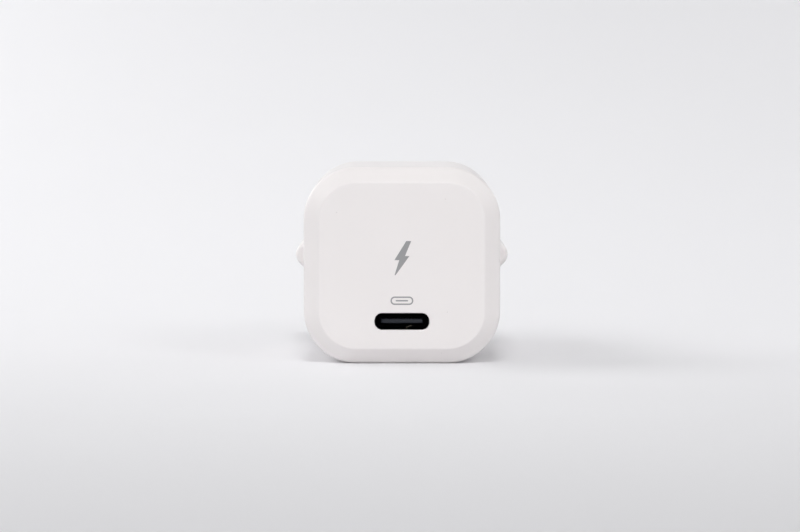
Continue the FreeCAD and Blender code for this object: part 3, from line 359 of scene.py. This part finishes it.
def moulded_grain():
    """Shared effect: the fine grain and broad mottling of a surface."""
    name = "moulded grain"
    if name in bpy.data.node_groups:
        return bpy.data.node_groups[name]
    group, taken, given = new_group(
        name,
        [("Coordinates", "NodeSocketVector"), ("Grain", "NodeSocketFloat"), ("Mottling", "NodeSocketFloat")],
        [("Grain", "NodeSocketFloat"), ("Mottling", "NodeSocketFloat")])
    place = taken.outputs["Coordinates"]
    grain = add_noise(group, place, taken.outputs["Grain"], detail=3, roughness=0.6)
    mottling = add_noise(group, place, taken.outputs["Mottling"], detail=4, roughness=0.55)
    group.links.new(grain, given.inputs["Grain"])
    group.links.new(mottling, given.inputs["Mottling"])
    return group


def drawn_streaks():
    """Shared effect: fine streaks along a stretched direction, as on drawn or turned metal."""
    name = "drawn streaks"
    if name in bpy.data.node_groups:
        return bpy.data.node_groups[name]
    group, taken, given = new_group(
        name,
        [("Coordinates", "NodeSocketVector"), ("Stretch", "NodeSocketVector")],
        [("Streaks", "NodeSocketFloat")])
    mapping = group.nodes.new("ShaderNodeMapping")
    group.links.new(taken.outputs["Coordinates"], mapping.inputs["Vector"])
    group.links.new(taken.outputs["Stretch"], mapping.inputs["Scale"])
    streaks = add_noise(group, mapping.outputs["Vector"], 1.0, detail=3, roughness=0.6)
    group.links.new(streaks, given.inputs["Streaks"])
    return group


def dust_specks():
    """Shared effect: a few small specks, far apart."""
    name = "dust specks"
    if name in bpy.data.node_groups:
        return bpy.data.node_groups[name]
    group, taken, given = new_group(
        name,
        [("Coordinates", "NodeSocketVector"), ("Spacing", "NodeSocketFloat"), ("Size", "NodeSocketFloat")],
        [("Specks", "NodeSocketFloat")])
    cells = group.nodes.new("ShaderNodeTexVoronoi")
    group.links.new(taken.outputs["Coordinates"], cells.inputs["Vector"])
    group.links.new(taken.outputs["Spacing"], cells.inputs["Scale"])
    small = group.nodes.new("ShaderNodeMath")
    small.operation = "LESS_THAN"
    value, limit = small.inputs[:2]
    group.links.new(cells.outputs["Distance"], value)
    group.links.new(taken.outputs["Size"], limit)
    group.links.new(small.outputs["Value"], given.inputs["Specks"])
    return group


def start_material(name):
    """Start a material: its tree, its shader and its place coordinates."""
    material = bpy.data.materials.new(name)
    material.use_nodes = True
    tree = material.node_tree
    place = tree.nodes.new("ShaderNodeTexCoord").outputs["Object"]
    return material, tree, tree.nodes["Principled BSDF"], place


def shades(tree, mask, first, second, target):
    """Let a mask go from one colour to another."""
    ramp = tree.nodes.new("ShaderNodeValToRGB")
    ramp.color_ramp.elements[0].position = MASK_LOW
    ramp.color_ramp.elements[1].position = MASK_HIGH
    ramp.color_ramp.elements[0].color = (*first, 1)
    ramp.color_ramp.elements[1].color = (*second, 1)
    tree.links.new(mask, ramp.inputs["Fac"])
    tree.links.new(ramp.outputs["Color"], target)


def vary(tree, mask, middle, reach, target):
    """Let a mask move a number below and above its middle."""
    ends = tree.nodes.new("ShaderNodeMapRange")
    ends.inputs["From Min"].default_value = MASK_LOW
    ends.inputs["From Max"].default_value = MASK_HIGH
    ends.inputs["To Min"].default_value = middle - reach
    ends.inputs["To Max"].default_value = middle + reach
    tree.links.new(mask, ends.inputs["Value"])
    tree.links.new(ends.outputs["Result"], target)


def raise_surface(tree, shader, height, distance):
    """Let a height mask raise the surface."""
    bump = tree.nodes.new("ShaderNodeBump")
    bump.inputs["Strength"].default_value = 1.0
    bump.inputs["Distance"].default_value = distance
    tree.links.new(height, bump.inputs["Height"])
    tree.links.new(bump.outputs["Normal"], shader.inputs["Normal"])


def darker(shade, share):
    """A colour made darker by a share."""
    return [part * (1 - share) for part in shade]


def moulded(name, shade, roughness, grain=5000, mottling=220, variation=0.04, depth=0.004, gloss=0.5):
    """Moulded plastic, rubber, ceramic or paper with a fine grain, whose depth is in millimetres."""
    unevenness = 0.05
    material, tree, shader, place = start_material(name)
    shader.inputs["Specular IOR Level"].default_value = gloss
    effect = tree.nodes.new("ShaderNodeGroup")
    effect.node_tree = moulded_grain()
    effect.inputs["Grain"].default_value = grain
    effect.inputs["Mottling"].default_value = mottling
    tree.links.new(place, effect.inputs["Coordinates"])
    shades(tree, effect.outputs["Mottling"], darker(shade, variation), shade, shader.inputs["Base Color"])
    vary(tree, effect.outputs["Grain"], roughness, unevenness, shader.inputs["Roughness"])
    raise_surface(tree, shader, effect.outputs["Grain"], depth * MM)
    return material


def metal(name, shade, roughness, stretch):
    """Drawn, turned or plated metal with fine streaks."""
    variation = 0.12
    unevenness = 0.06
    depth = 0.002 * MM
    material, tree, shader, place = start_material(name)
    shader.inputs["Metallic"].default_value = 1.0
    effect = tree.nodes.new("ShaderNodeGroup")
    effect.node_tree = drawn_streaks()
    effect.inputs["Stretch"].default_value = stretch
    tree.links.new(place, effect.inputs["Coordinates"])
    streaks = effect.outputs["Streaks"]
    shades(tree, streaks, darker(shade, variation), shade, shader.inputs["Base Color"])
    vary(tree, streaks, roughness, unevenness, shader.inputs["Roughness"])
    raise_surface(tree, shader, streaks, depth)
    return material


def mix_socket(sockets, identifier):
    """A socket of a mix node, found by its identifier because several sockets share a name."""
    return next(socket for socket in sockets if socket.identifier == identifier)


def case_plastic(context):
    """The matt white plastic of the case and its cover: soft gloss on its edges and a few specks of dust."""
    name = "case plastic"
    if name in bpy.data.materials:
        return bpy.data.materials[name]
    speck_darkness = 0.15
    shade = context.scene.charger_colours.case
    material = moulded(name, shade, roughness=0.5, grain=6000, mottling=90, variation=0.012, depth=0.003)
    tree = material.node_tree
    shader = tree.nodes["Principled BSDF"]
    shader.inputs["Coat Weight"].default_value = 0.35
    shader.inputs["Coat Roughness"].default_value = 0.2
    specks = tree.nodes.new("ShaderNodeGroup")
    specks.node_tree = dust_specks()
    specks.inputs["Spacing"].default_value = 260
    specks.inputs["Size"].default_value = 0.026
    tree.links.new(tree.nodes["Texture Coordinate"].outputs["Object"], specks.inputs["Coordinates"])
    dusty = tree.nodes.new("ShaderNodeMix")
    dusty.data_type = "RGBA"
    plain = shader.inputs["Base Color"].links[0].from_socket
    tree.links.new(specks.outputs["Specks"], mix_socket(dusty.inputs, "Factor_Float"))
    tree.links.new(plain, mix_socket(dusty.inputs, "A_Color"))
    mix_socket(dusty.inputs, "B_Color").default_value = (*darker(shade, speck_darkness), 1)
    tree.links.new(mix_socket(dusty.outputs, "Result_Color"), shader.inputs["Base Color"])
    return material


def give(material, *nodes):
    """Give solid nodes their finish."""
    for node in nodes:
        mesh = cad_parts[node].data
        mesh.materials.clear()
        mesh.materials.append(material)


# Pieces


class CHARGER_OT_case(bpy.types.Operator):
    """Model the bevelled case with its slot"""

    bl_idname = "charger.case"
    bl_label = "Case"

    def execute(self, context):
        sizes = context.scene.charger_sizes
        low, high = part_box("housing")
        edge = low.y + sizes.bevel_depth
        case = round_block("case_shell", (low.x, edge, low.z), high, sizes.corner_radius, steps=24)
        pick(case, "FACE", lies_at(Y, edge))
        bpy.ops.mesh.inset(thickness=sizes.bevel_width, depth=sizes.bevel_depth)
        done()
        soften(case, lies_at(Y, edge), sizes.side_softness, steps=8)
        soften(case, lies_at(Y, low.y), sizes.face_softness, steps=5)
        soften(case, lies_at(Y, high.y), sizes.seam_softness, steps=2)
        combine(case, self.cavity(sizes, low, high), "DIFFERENCE")
        combine(case, self.seat(sizes), "DIFFERENCE")
        combine(case, self.slot(sizes, low.y), "DIFFERENCE")
        finish(case, case_plastic(context), "case_white", "housing")
        return {"FINISHED"}

    def cavity(self, sizes, low, high):
        """The space inside the walls, open at the seam."""
        wall = sizes.wall
        front = low.y + sizes.front_wall
        cavity = round_block("cavity", (low.x + wall, front, low.z + wall),
                             (high.x - wall, high.y + PAST, high.z - wall), sizes.corner_radius - wall)
        soften(cavity, lies_at(Y, front), sizes.cavity_bevel, steps=1)
        return cavity

    def seat(self, sizes):
        """The space for the metal shell behind the front face, as deep below the port as above it."""
        low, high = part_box("port_shell")
        gap = sizes.seat_gap
        top = high.z + gap
        bottom = 2 * sizes.port_height - top
        return round_block("seat", (low.x - gap, low.y - gap, bottom), (high.x + gap, high.y + gap, top),
                           sizes.inner_corner, steps=8)

    def slot(self, sizes, face):
        """The slot, which flares softly to the front face."""
        half = Vector((sizes.slot_width, 0, sizes.slot_height)) / 2
        start = face + sizes.slot_flare
        front = Vector((0, start, sizes.port_height))
        rear = Vector((0, start + sizes.slot_depth, sizes.port_height))
        slot = round_block("slot", front - half, rear + half, sizes.slot_corner, steps=10)
        flare_steps = 4
        place, size = start, half
        for step in range(1, flare_steps + 2):
            turn = math.radians(90) * min(step / flare_steps, 1)
            depth = start - sizes.slot_flare * math.sin(turn) if step <= flare_steps else face - PAST
            widened = sizes.slot_flare * (1 - math.cos(turn))
            pick(slot, "FACE", lies_at(Y, place))
            bpy.ops.mesh.extrude_region_move(TRANSFORM_OT_translate={"value": (0, depth - place, 0)})
            scale = ((half.x + widened) / size.x, 1, (half.z + widened) / size.z)
            bpy.ops.transform.resize(value=scale, center_override=(0, depth, sizes.port_height))
            done()
            place = depth
            size = Vector((half.x + widened, 0, half.z + widened))
        return slot


class CHARGER_OT_cover(bpy.types.Operator):
    """Model the rear cover with its plug base"""

    bl_idname = "charger.cover"
    bl_label = "Rear cover"

    def execute(self, context):
        sizes = context.scene.charger_sizes
        low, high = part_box("housing")
        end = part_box("rear_cover")[1]
        seam, face = high.y, end.y
        back = face - sizes.plug_length
        cover = round_block("plug_cover", (low.x, seam, low.z), (high.x, back, high.z),
                            sizes.corner_radius, steps=24)
        soften(cover, lies_at(Y, back), sizes.rear_softness, steps=6)
        soften(cover, lies_at(Y, seam), sizes.seam_softness, steps=2)
        combine(cover, self.plug(sizes, back - sizes.rear_softness, face, end.x), "UNION")
        inset = sizes.wall + sizes.spigot_gap + sizes.spigot_wall
        hollow = round_block("hollow", (low.x + inset, seam - PAST, low.z + inset),
                             (high.x - inset, back - sizes.cover_wall, high.z - inset),
                             sizes.corner_radius - inset)
        combine(cover, hollow, "DIFFERENCE")
        combine(cover, self.space(sizes, seam, face - sizes.plug_end), "DIFFERENCE")
        finish(cover, case_plastic(context), "case_white", "rear_cover")
        return {"FINISHED"}

    def plug(self, sizes, start, face, tip):
        """The plug base: flats above and below, slopes that meet in two rounded tips."""
        half = sizes.plug_height / 2
        middle = case_middle()
        apex = tip + sizes.plug_tip * (math.sqrt(2) - 1)
        shoulder = apex - half
        plug = add_block("plug", (-shoulder, start, middle - half), (shoulder, face, middle + half))
        for side in (-1, 1):
            pick(plug, "FACE", lies_at(X, side * shoulder))
            bpy.ops.mesh.extrude_region_move(TRANSFORM_OT_translate={"value": (side * half, 0, 0)})
            bpy.ops.transform.resize(value=(1, 1, 0), center_override=(side * apex, 0, middle))
            bpy.ops.mesh.select_all(action="SELECT")
            bpy.ops.mesh.remove_doubles(threshold=HAIR)
            bpy.ops.mesh.dissolve_limited(angle_limit=math.radians(1))
            done()
        soften(plug, runs_along_y_at(apex), sizes.plug_tip, steps=12)
        soften(plug, runs_along_y_at(shoulder), sizes.plug_shoulder, steps=8)
        for end in (face, start):
            soften(plug, lies_at(Y, end), sizes.plug_softness, steps=5)
        return plug

    def space(self, sizes, start, end):
        """The space in the plug base for the contact strips."""
        middle = case_middle()
        half_width = sizes.plug_space / 2
        half_height = sizes.plug_height / 2 - sizes.plug_wall
        return round_block("space", (-half_width, start, middle - half_height),
                           (half_width, end, middle + half_height), sizes.inner_corner, steps=6)


class CHARGER_OT_pins(bpy.types.Operator):
    """Model the two plated pins and their sleeves"""

    bl_idname = "charger.pins"
    bl_label = "Pins and sleeves"

    def execute(self, context):
        sizes = context.scene.charger_sizes
        colours = context.scene.charger_colours
        nickel = metal("plated nickel", colours.nickel, roughness=0.2, stretch=(900, 60000, 900))
        sleeve_plastic = moulded("sleeve plastic", colours.sleeve, roughness=0.42, variation=0.03)
        for label, side in (("left", -1), ("right", 1)):
            pin = self.pin(sizes, f"turned_pin_{label}")
            sleeve = self.sleeve(sizes, f"pin_sleeve_cover_{label}")
            for piece in (pin, sleeve):
                self.lean(piece, sizes, side)
            finish(pin, nickel, "pin_nickel", f"pin_{label}")
            finish(sleeve, sleeve_plastic, "sleeve_grey", f"pin_sleeve_{label}")
        return {"FINISHED"}

    def pin(self, sizes, name):
        """A pin along Y: a rounded bare end and a thinner shank."""
        start = sizes.pin_reach - sizes.pin_bare
        pin = add_rod(name, sizes.pin_radius, start, sizes.pin_reach)
        soften(pin, lies_at(Y, sizes.pin_reach), sizes.pin_tip, steps=10)
        pick(pin, "FACE", lies_at(Y, start))
        bpy.ops.mesh.inset(thickness=sizes.pin_radius - sizes.shank_radius)
        shank_length = start + sizes.shank_anchor
        bpy.ops.mesh.extrude_region_move(TRANSFORM_OT_translate={"value": (0, -shank_length, 0)})
        done()
        soften(pin, lies_at(Y, start), sizes.collar_softness, steps=3)
        return pin

    def sleeve(self, sizes, name):
        """A sleeve along Y."""
        end = sizes.pin_reach - sizes.pin_bare
        sleeve = add_rod(name, sizes.sleeve_radius, -sizes.sleeve_anchor, end, caps="NOTHING")
        apply(sleeve, "SOLIDIFY", thickness=sizes.sleeve_radius - sizes.shank_radius, offset=-1, use_rim=True)
        soften(sleeve, lies_at(Y, end), sizes.sleeve_softness, steps=3)
        return sleeve

    def lean(self, piece, sizes, side):
        """Put a pin or sleeve on the plug face, leaning towards the other one."""
        use(piece)
        slope = (sizes.pin_root - sizes.pin_spread) / 2 / sizes.pin_reach
        plug_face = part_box("rear_cover")[1].y
        piece.location = (side * sizes.pin_root / 2, plug_face, case_middle())
        piece.rotation_euler = (0, 0, side * math.atan(slope))
        bpy.ops.object.transform_apply(location=True, rotation=True, scale=True)


class CHARGER_OT_port(bpy.types.Operator):
    """Model the tongue of the port, with the plastic behind it in painted shade, and finish its metal shell
    near black as painted shade
    """

    bl_idname = "charger.port"
    bl_label = "Port"

    def execute(self, context):
        sizes = context.scene.charger_sizes
        colours = context.scene.charger_colours
        low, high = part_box("port_insulator")
        root = low.y + sizes.tongue_length
        tongue = self.tongue(sizes, low.y, root)
        base = round_block("port_base", (low.x, root, low.z), high, sizes.base_corner, steps=6)
        step_front = root - sizes.step_length
        step = self.plate("port_step", sizes.step_width, sizes.step_thickness, sizes.port_height,
                          step_front, root + sizes.step_overlap)
        soften(step, lies_at(Y, step_front), sizes.step_softness, steps=2)
        join(base, step)
        tongue_plastic = moulded("tongue plastic", colours.tongue, roughness=0.45, variation=0.15, gloss=0.2)
        # Painted shade: the same plastic as the tongue, made near black for the shade at the back of the slot
        port_plastic_painted_shade = moulded("port plastic in painted shade", colours.port_painted_shade, roughness=0.6, variation=0.15, gloss=0.05)
        finish(tongue, tongue_plastic, "tongue_black", "port_insulator")
        finish(base, port_plastic_painted_shade, "tongue_black", "port_insulator")
        # Painted shade: the shell's near-black steel stands for the shade inside the slot
        steel_painted_shade = metal("port steel", colours.steel_painted_shade, roughness=0.4, stretch=(30000, 900, 30000))
        give(steel_painted_shade, "port_shell")
        return {"FINISHED"}

    def plate(self, name, width, thickness, height, start, end):
        """A flat plate at a height, from one place along Y to another."""
        half = Vector((width, 0, thickness)) / 2
        return add_block(name, Vector((0, start, height)) - half, Vector((0, end, height)) + half)

    def tongue(self, sizes, tip, root):
        """The tongue, with a thicker lip that hides the ends of the contacts."""
        lip_end = tip + sizes.lip_length
        tongue = self.plate("port_tongue", sizes.tongue_width, sizes.lip_thickness, sizes.port_height,
                            tip, lip_end)

        def upright(corners):
            """A test for the two upright edges at the tip."""
            return lies_at(Y, tip)(corners) and abs(corners[0].x - corners[1].x) < HAIR

        def level(corners):
            """A test for the level edges round the tip, in front of the lip's end."""
            in_front = max(corner.y for corner in corners) < lip_end - HAIR
            return in_front and abs(corners[0].z - corners[1].z) < HAIR

        soften(tongue, upright, sizes.tongue_corner, steps=6)
        soften(tongue, level, sizes.lip_softness, steps=5)
        blade_width = sizes.tongue_width - 2 * sizes.blade_inset
        blade = self.plate("tongue_blade", blade_width, sizes.tongue_thickness, sizes.port_height,
                           lip_end - sizes.blade_inset, root)
        combine(tongue, blade, "UNION")
        return tongue


class CHARGER_OT_lint(bpy.types.Operator):
    """Lay a thread of lint in the slot"""

    bl_idname = "charger.lint"
    bl_label = "Lint"

    def execute(self, context):
        sizes = context.scene.charger_sizes
        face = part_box("housing")[0].y
        slot_bottom = sizes.port_height - sizes.slot_height / 2
        foot = Vector((sizes.lint_across, face + sizes.lint_depth, slot_bottom))
        deselect()
        bpy.ops.curve.primitive_nurbs_path_add()
        thread = bpy.context.active_object
        path = thread.data.splines[0]
        # Bends of the thread, in millimetres from its foot
        bends = ((0, 0, 0.03), (-0.05, -0.1, 0.35), (0.1, -0.2, 0.6), (0.5, -0.15, 0.5), (0.8, 0.0, 0.75))
        for point, bend in zip(path.points, bends):
            point.co = (*(foot + Vector(bend) * MM), 1)
        thread.data.bevel_depth = sizes.lint_radius
        thread.data.bevel_resolution = 2
        thread.data.use_fill_caps = True
        bpy.ops.object.convert(target="MESH")
        fibre = moulded("lint", context.scene.charger_colours.lint, roughness=0.9, variation=0.3, gloss=0.1)
        finish(name_piece("lint_thread"), fibre, "tongue_black")
        return {"FINISHED"}


class CHARGER_OT_signs(bpy.types.Operator):
    """Print a flash sign and a port sign on the front face"""

    bl_idname = "charger.signs"
    bl_label = "Printed signs"

    def execute(self, context):
        sizes = context.scene.charger_sizes
        shade = context.scene.charger_colours.ink
        ink = moulded("grey ink", shade, roughness=0.5, grain=9000, variation=0.06, depth=0.001)
        finish(self.flash(sizes), ink, "case_white")
        finish(self.port_outline(sizes), ink, "case_white")
        return {"FINISHED"}

    def flash(self, sizes):
        """A flash made of two slanted plates, each tapered to its end by a share of its width."""
        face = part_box("housing")[0].y
        ink = sizes.ink_thickness
        size, middle = sizes.sign_height, sizes.sign_middle
        width = 0.26 * size
        overlap = 0.06 * size
        lean = 0.2 * size
        shift = 0.09 * size
        plates = []
        for side, taper in ((1, 0.55), (-1, 0.12)):
            end = middle + side * size / 2
            root = middle - side * overlap
            plate = add_block("flash_sign", (-width / 2, face - ink, min(root, end)),
                              (width / 2, face + ink, max(root, end)))
            pick(plate, "VERT", lies_at(Z, end))
            bpy.ops.transform.translate(value=(side * lean, 0, 0))
            bpy.ops.transform.resize(value=(taper, 1, 1), center_override=(side * lean, face, end))
            done()
            pick(plate, "VERT", lies_at(Z, root))
            bpy.ops.transform.translate(value=(-side * shift, 0, 0))
            done()
            plates.append(plate)
        upper, lower = plates
        combine(upper, lower, "UNION")
        return upper

    def port_outline(self, sizes):
        """A ring with round ends, like the slot, with a bar in it."""
        height_share = 0.37
        bar_share = 0.55
        bar_roundness = 0.9
        # Flat rest between two roundings, so that their points don't fall together
        rest = 20 * HAIR
        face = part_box("housing")[0].y
        middle = Vector((0, face, sizes.outline_middle))
        ink = Vector((0, sizes.ink_thickness, 0))
        half = Vector((1, 0, height_share)) * sizes.outline_width / 2
        ring = round_block("port_sign", middle - half - ink, middle + half + ink, half.z - rest, steps=10)
        inner = half - Vector((sizes.stroke, 0, sizes.stroke))
        through = 3 * ink
        hole = round_block("ring_hole", middle - inner - through, middle + inner + through,
                           inner.z - rest, steps=10)
        combine(ring, hole, "DIFFERENCE")
        bar_half = Vector((half.x * bar_share, 0, sizes.stroke / 2))
        bar = round_block("ring_bar", middle - bar_half - ink, middle + bar_half + ink,
                          bar_half.z * bar_roundness, steps=4)
        join(ring, bar)
        return ring


class CHARGER_OT_inner_parts(bpy.types.Operator):
    """Finish the parts inside the case"""

    bl_idname = "charger.inner_parts"
    bl_label = "Inner parts"

    def execute(self, context):
        # Colour, roughness, stretch of the streaks, and the nodes
        metals = {
            "strip brass": ((0.48, 0.26, 0.06), 0.35, (900, 900, 20000),
                            ("contact_strip_left", "contact_strip_right")),
            "contact gold": ((0.42, 0.25, 0.07), 0.15, (30000, 900, 30000), ("port_contacts",)),
            "tinned leads": ((0.48, 0.48, 0.49), 0.38, (20000, 20000, 900),
                             ("transformer_pins", "bulk_capacitor_leads", "output_capacitor_leads",
                              "fuse_leads", "choke_leads")),
            "drawn can": ((0.48, 0.49, 0.52), 0.32, (12000, 12000, 300),
                          ("bulk_capacitor_front", "bulk_capacitor_rear", "output_capacitor")),
            "enamelled copper": ((0.48, 0.12, 0.035), 0.3, (600, 600, 9000), ("choke_winding",)),
            "rolled aluminium": ((0.57, 0.58, 0.6), 0.42, (9000, 300, 9000), ("heat_spreader",)),
        }
        # Colour, roughness and the nodes
        plastics = {
            "board lacquer": ((0.008, 0.055, 0.018), 0.35, ("main_board",)),
            "ferrite": ((0.016, 0.016, 0.018), 0.55,
                        ("transformer_core_lower", "transformer_core_upper", "choke_core")),
            "bobbin plastic": ((0.006, 0.006, 0.006), 0.5, ("transformer_bobbin",)),
            "winding tape": ((0.71, 0.42, 0.013), 0.3, ("transformer_winding",)),
            "bung rubber": ((0.006, 0.006, 0.006), 0.7, ("bulk_capacitor_bungs", "output_capacitor_bung")),
            "fuse plastic": ((0.09, 0.03, 0.012), 0.45, ("fuse",)),
            "chip epoxy": ((0.004, 0.004, 0.005), 0.55,
                           ("bridge_rectifier", "power_switch", "sync_rectifier", "optocoupler",
                            "charge_controller")),
            "fired ceramic": ((0.27, 0.155, 0.073), 0.4, ("safety_capacitor", "chip_passives")),
            "thermal silicone": ((0.27, 0.34, 0.45), 0.75, ("thermal_pad",)),
            "barrier film": ((0.71, 0.71, 0.64), 0.4, ("barrier_sheet",)),
        }
        for name, (shade, roughness, stretch, nodes) in metals.items():
            give(metal(name, shade, roughness, stretch), *nodes)
        for name, (shade, roughness, nodes) in plastics.items():
            give(moulded(name, shade, roughness, variation=0.15), *nodes)
        return {"FINISHED"}


class CHARGER_OT_stage(bpy.types.Operator):
    """Set up the seamless floor, the soft light and the camera"""

    bl_idname = "charger.stage"
    bl_label = "Stage"

    def execute(self, context):
        stage = context.scene.charger_stage
        self.floor(stage, context.scene.charger_colours.floor)
        self.light(stage)
        self.camera(stage)
        return {"FINISHED"}

    def floor(self, stage, shade):
        """A sheet of paper that sweeps up behind."""
        deselect()
        bpy.ops.mesh.primitive_plane_add(size=1, location=(0, stage.paper_shift, 0))
        bpy.context.active_object.scale = (stage.paper_width, stage.paper_length, 1)
        floor = name_piece("floor")
        far = max(point.co.y for point in floor.data.vertices)
        pick(floor, "EDGE", lies_at(Y, far))
        bpy.ops.mesh.extrude_region_move(TRANSFORM_OT_translate={"value": (0, 0, stage.paper_rise)})
        done()

        def far_corner(corners):
            """A test for the edge where the paper begins to stand."""
            return lies_at(Y, far)(corners) and lies_at(Z, 0)(corners)

        soften(floor, far_corner, stage.paper_sweep, steps=32)
        use(floor)
        bpy.ops.object.shade_smooth()
        paper = moulded("seamless paper", shade, roughness=0.8, grain=1500, mottling=4, variation=0.01,
                        depth=0.01)
        floor.data.materials.append(paper)

    def light(self, stage):
        """Even light from all round, soft lights at the sides and behind, and soft beams in front."""
        world = bpy.data.worlds.new("studio")
        world.use_nodes = True
        backdrop = world.node_tree.nodes["Background"]
        backdrop.inputs["Color"].default_value = (0.99, 0.995, 1.0, 1)
        backdrop.inputs["Strength"].default_value = stage.sky
        bpy.context.scene.world = world
        # Name, power, place, aim and size of each soft light, in metres
        for name, power, place, aim, size in (
                ("light_left", stage.left, (-0.5, 0.12, 0.4), (0, 0, 0), 0.4),
                ("light_left_ahead", stage.left_ahead, (-0.5, -0.6, 0.45), (0, 0, 0), 0.3),
                ("light_left_low", stage.left_low, (-0.35, 0.45, 0.15), (0, 0, 0), 0.2),
                ("light_right", stage.right, (0.6, 0.1, 0.55), (0, 0.05, 0), 0.8),
                ("light_right_ahead", stage.right_ahead, (0.5, -0.6, 0.45), (0, 0, 0), 0.3),
                ("light_right_low", stage.right_low, (0.35, 0.45, 0.15), (0, 0, 0), 0.2),
                ("light_paper", stage.behind, (-0.22, 0.5, 0.72), (-0.08, 1.0, 0.3), 0.6)):
            lamp = self.lamp("AREA", name, power, place, aim)
            lamp.data.size = size
        # Name, power, place and aim of each beam, in metres, and its width in degrees
        for name, power, place, aim, width in (
                ("beam_high", stage.beam_high, (0, -0.52, 0.8), (0, 0.08, 0), 37),
                ("beam_low", stage.beam_low, (0, -0.9, 0.22), (0, 0.1, 0.01), 30)):
            lamp = self.lamp("SPOT", name, power, place, aim)
            lamp.data.spot_size = math.radians(width)
            lamp.data.spot_blend = 1.0
            lamp.data.shadow_soft_size = 0.15

    def lamp(self, kind, name, power, place, aim):
        """Add a lamp that is aimed at a point."""
        deselect()
        bpy.ops.object.light_add(type=kind, location=place)
        lamp = bpy.context.active_object
        lamp.name = name
        lamp.data.energy = power
        lamp.rotation_euler = (Vector(aim) - Vector(place)).to_track_quat("-Z", "Y").to_euler()
        return lamp

    def camera(self, stage):
        """The camera of the photograph."""
        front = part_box("housing")[0].y
        aim = Vector((stage.aim_across, front, stage.aim_height))
        back = Vector((0, -math.cos(stage.pitch), math.sin(stage.pitch)))
        deselect()
        bpy.ops.object.camera_add(location=aim + back * stage.distance)
        camera = bpy.context.active_object
        camera.rotation_euler = (-back).to_track_quat("-Z", "Y").to_euler()
        camera.data.lens = stage.lens
        camera.data.sensor_width = 36
        camera.data.clip_start = 0.01
        bpy.context.scene.camera = camera
        bpy.context.scene.view_settings.view_transform = "Standard"


# Panel and start

OPERATORS = (CHARGER_OT_case, CHARGER_OT_cover, CHARGER_OT_pins, CHARGER_OT_port, CHARGER_OT_lint,
             CHARGER_OT_signs, CHARGER_OT_inner_parts, CHARGER_OT_stage)


class CHARGER_PT_panel(bpy.types.Panel):
    """Lists the pieces of the charger and their settings"""

    bl_idname = "CHARGER_PT_panel"
    bl_label = "Wall charger"
    bl_space_type = "VIEW_3D"
    bl_region_type = "UI"
    bl_category = "Charger"

    def draw(self, context):
        for operator in OPERATORS:
            self.layout.operator(operator.bl_idname)
        scene = context.scene
        for group in (scene.charger_sizes, scene.charger_colours, scene.charger_stage):
            for key in group.bl_rna.properties.keys():
                if key not in {"rna_type", "name"}:
                    self.layout.prop(group, key)


CLASSES = (ChargerSizes, ChargerColours, ChargerStage, *OPERATORS, CHARGER_PT_panel)


def register():
    """Add the classes and their settings."""
    for item in CLASSES:
        bpy.utils.register_class(item)
    bpy.types.Scene.charger_sizes = PointerProperty(type=ChargerSizes)
    bpy.types.Scene.charger_colours = PointerProperty(type=ChargerColours)
    bpy.types.Scene.charger_stage = PointerProperty(type=ChargerStage)


def unregister():
    """Take the classes and their settings away."""
    del bpy.types.Scene.charger_sizes
    del bpy.types.Scene.charger_colours
    del bpy.types.Scene.charger_stage
    for item in reversed(CLASSES):
        bpy.utils.unregister_class(item)


def main():
    """Make every piece in order."""
    register()
    bpy.ops.charger.case()
    bpy.ops.charger.cover()
    bpy.ops.charger.pins()
    bpy.ops.charger.port()
    bpy.ops.charger.lint()
    bpy.ops.charger.signs()
    bpy.ops.charger.inner_parts()
    bpy.ops.charger.stage()


if __name__ == "__main__":
    main()
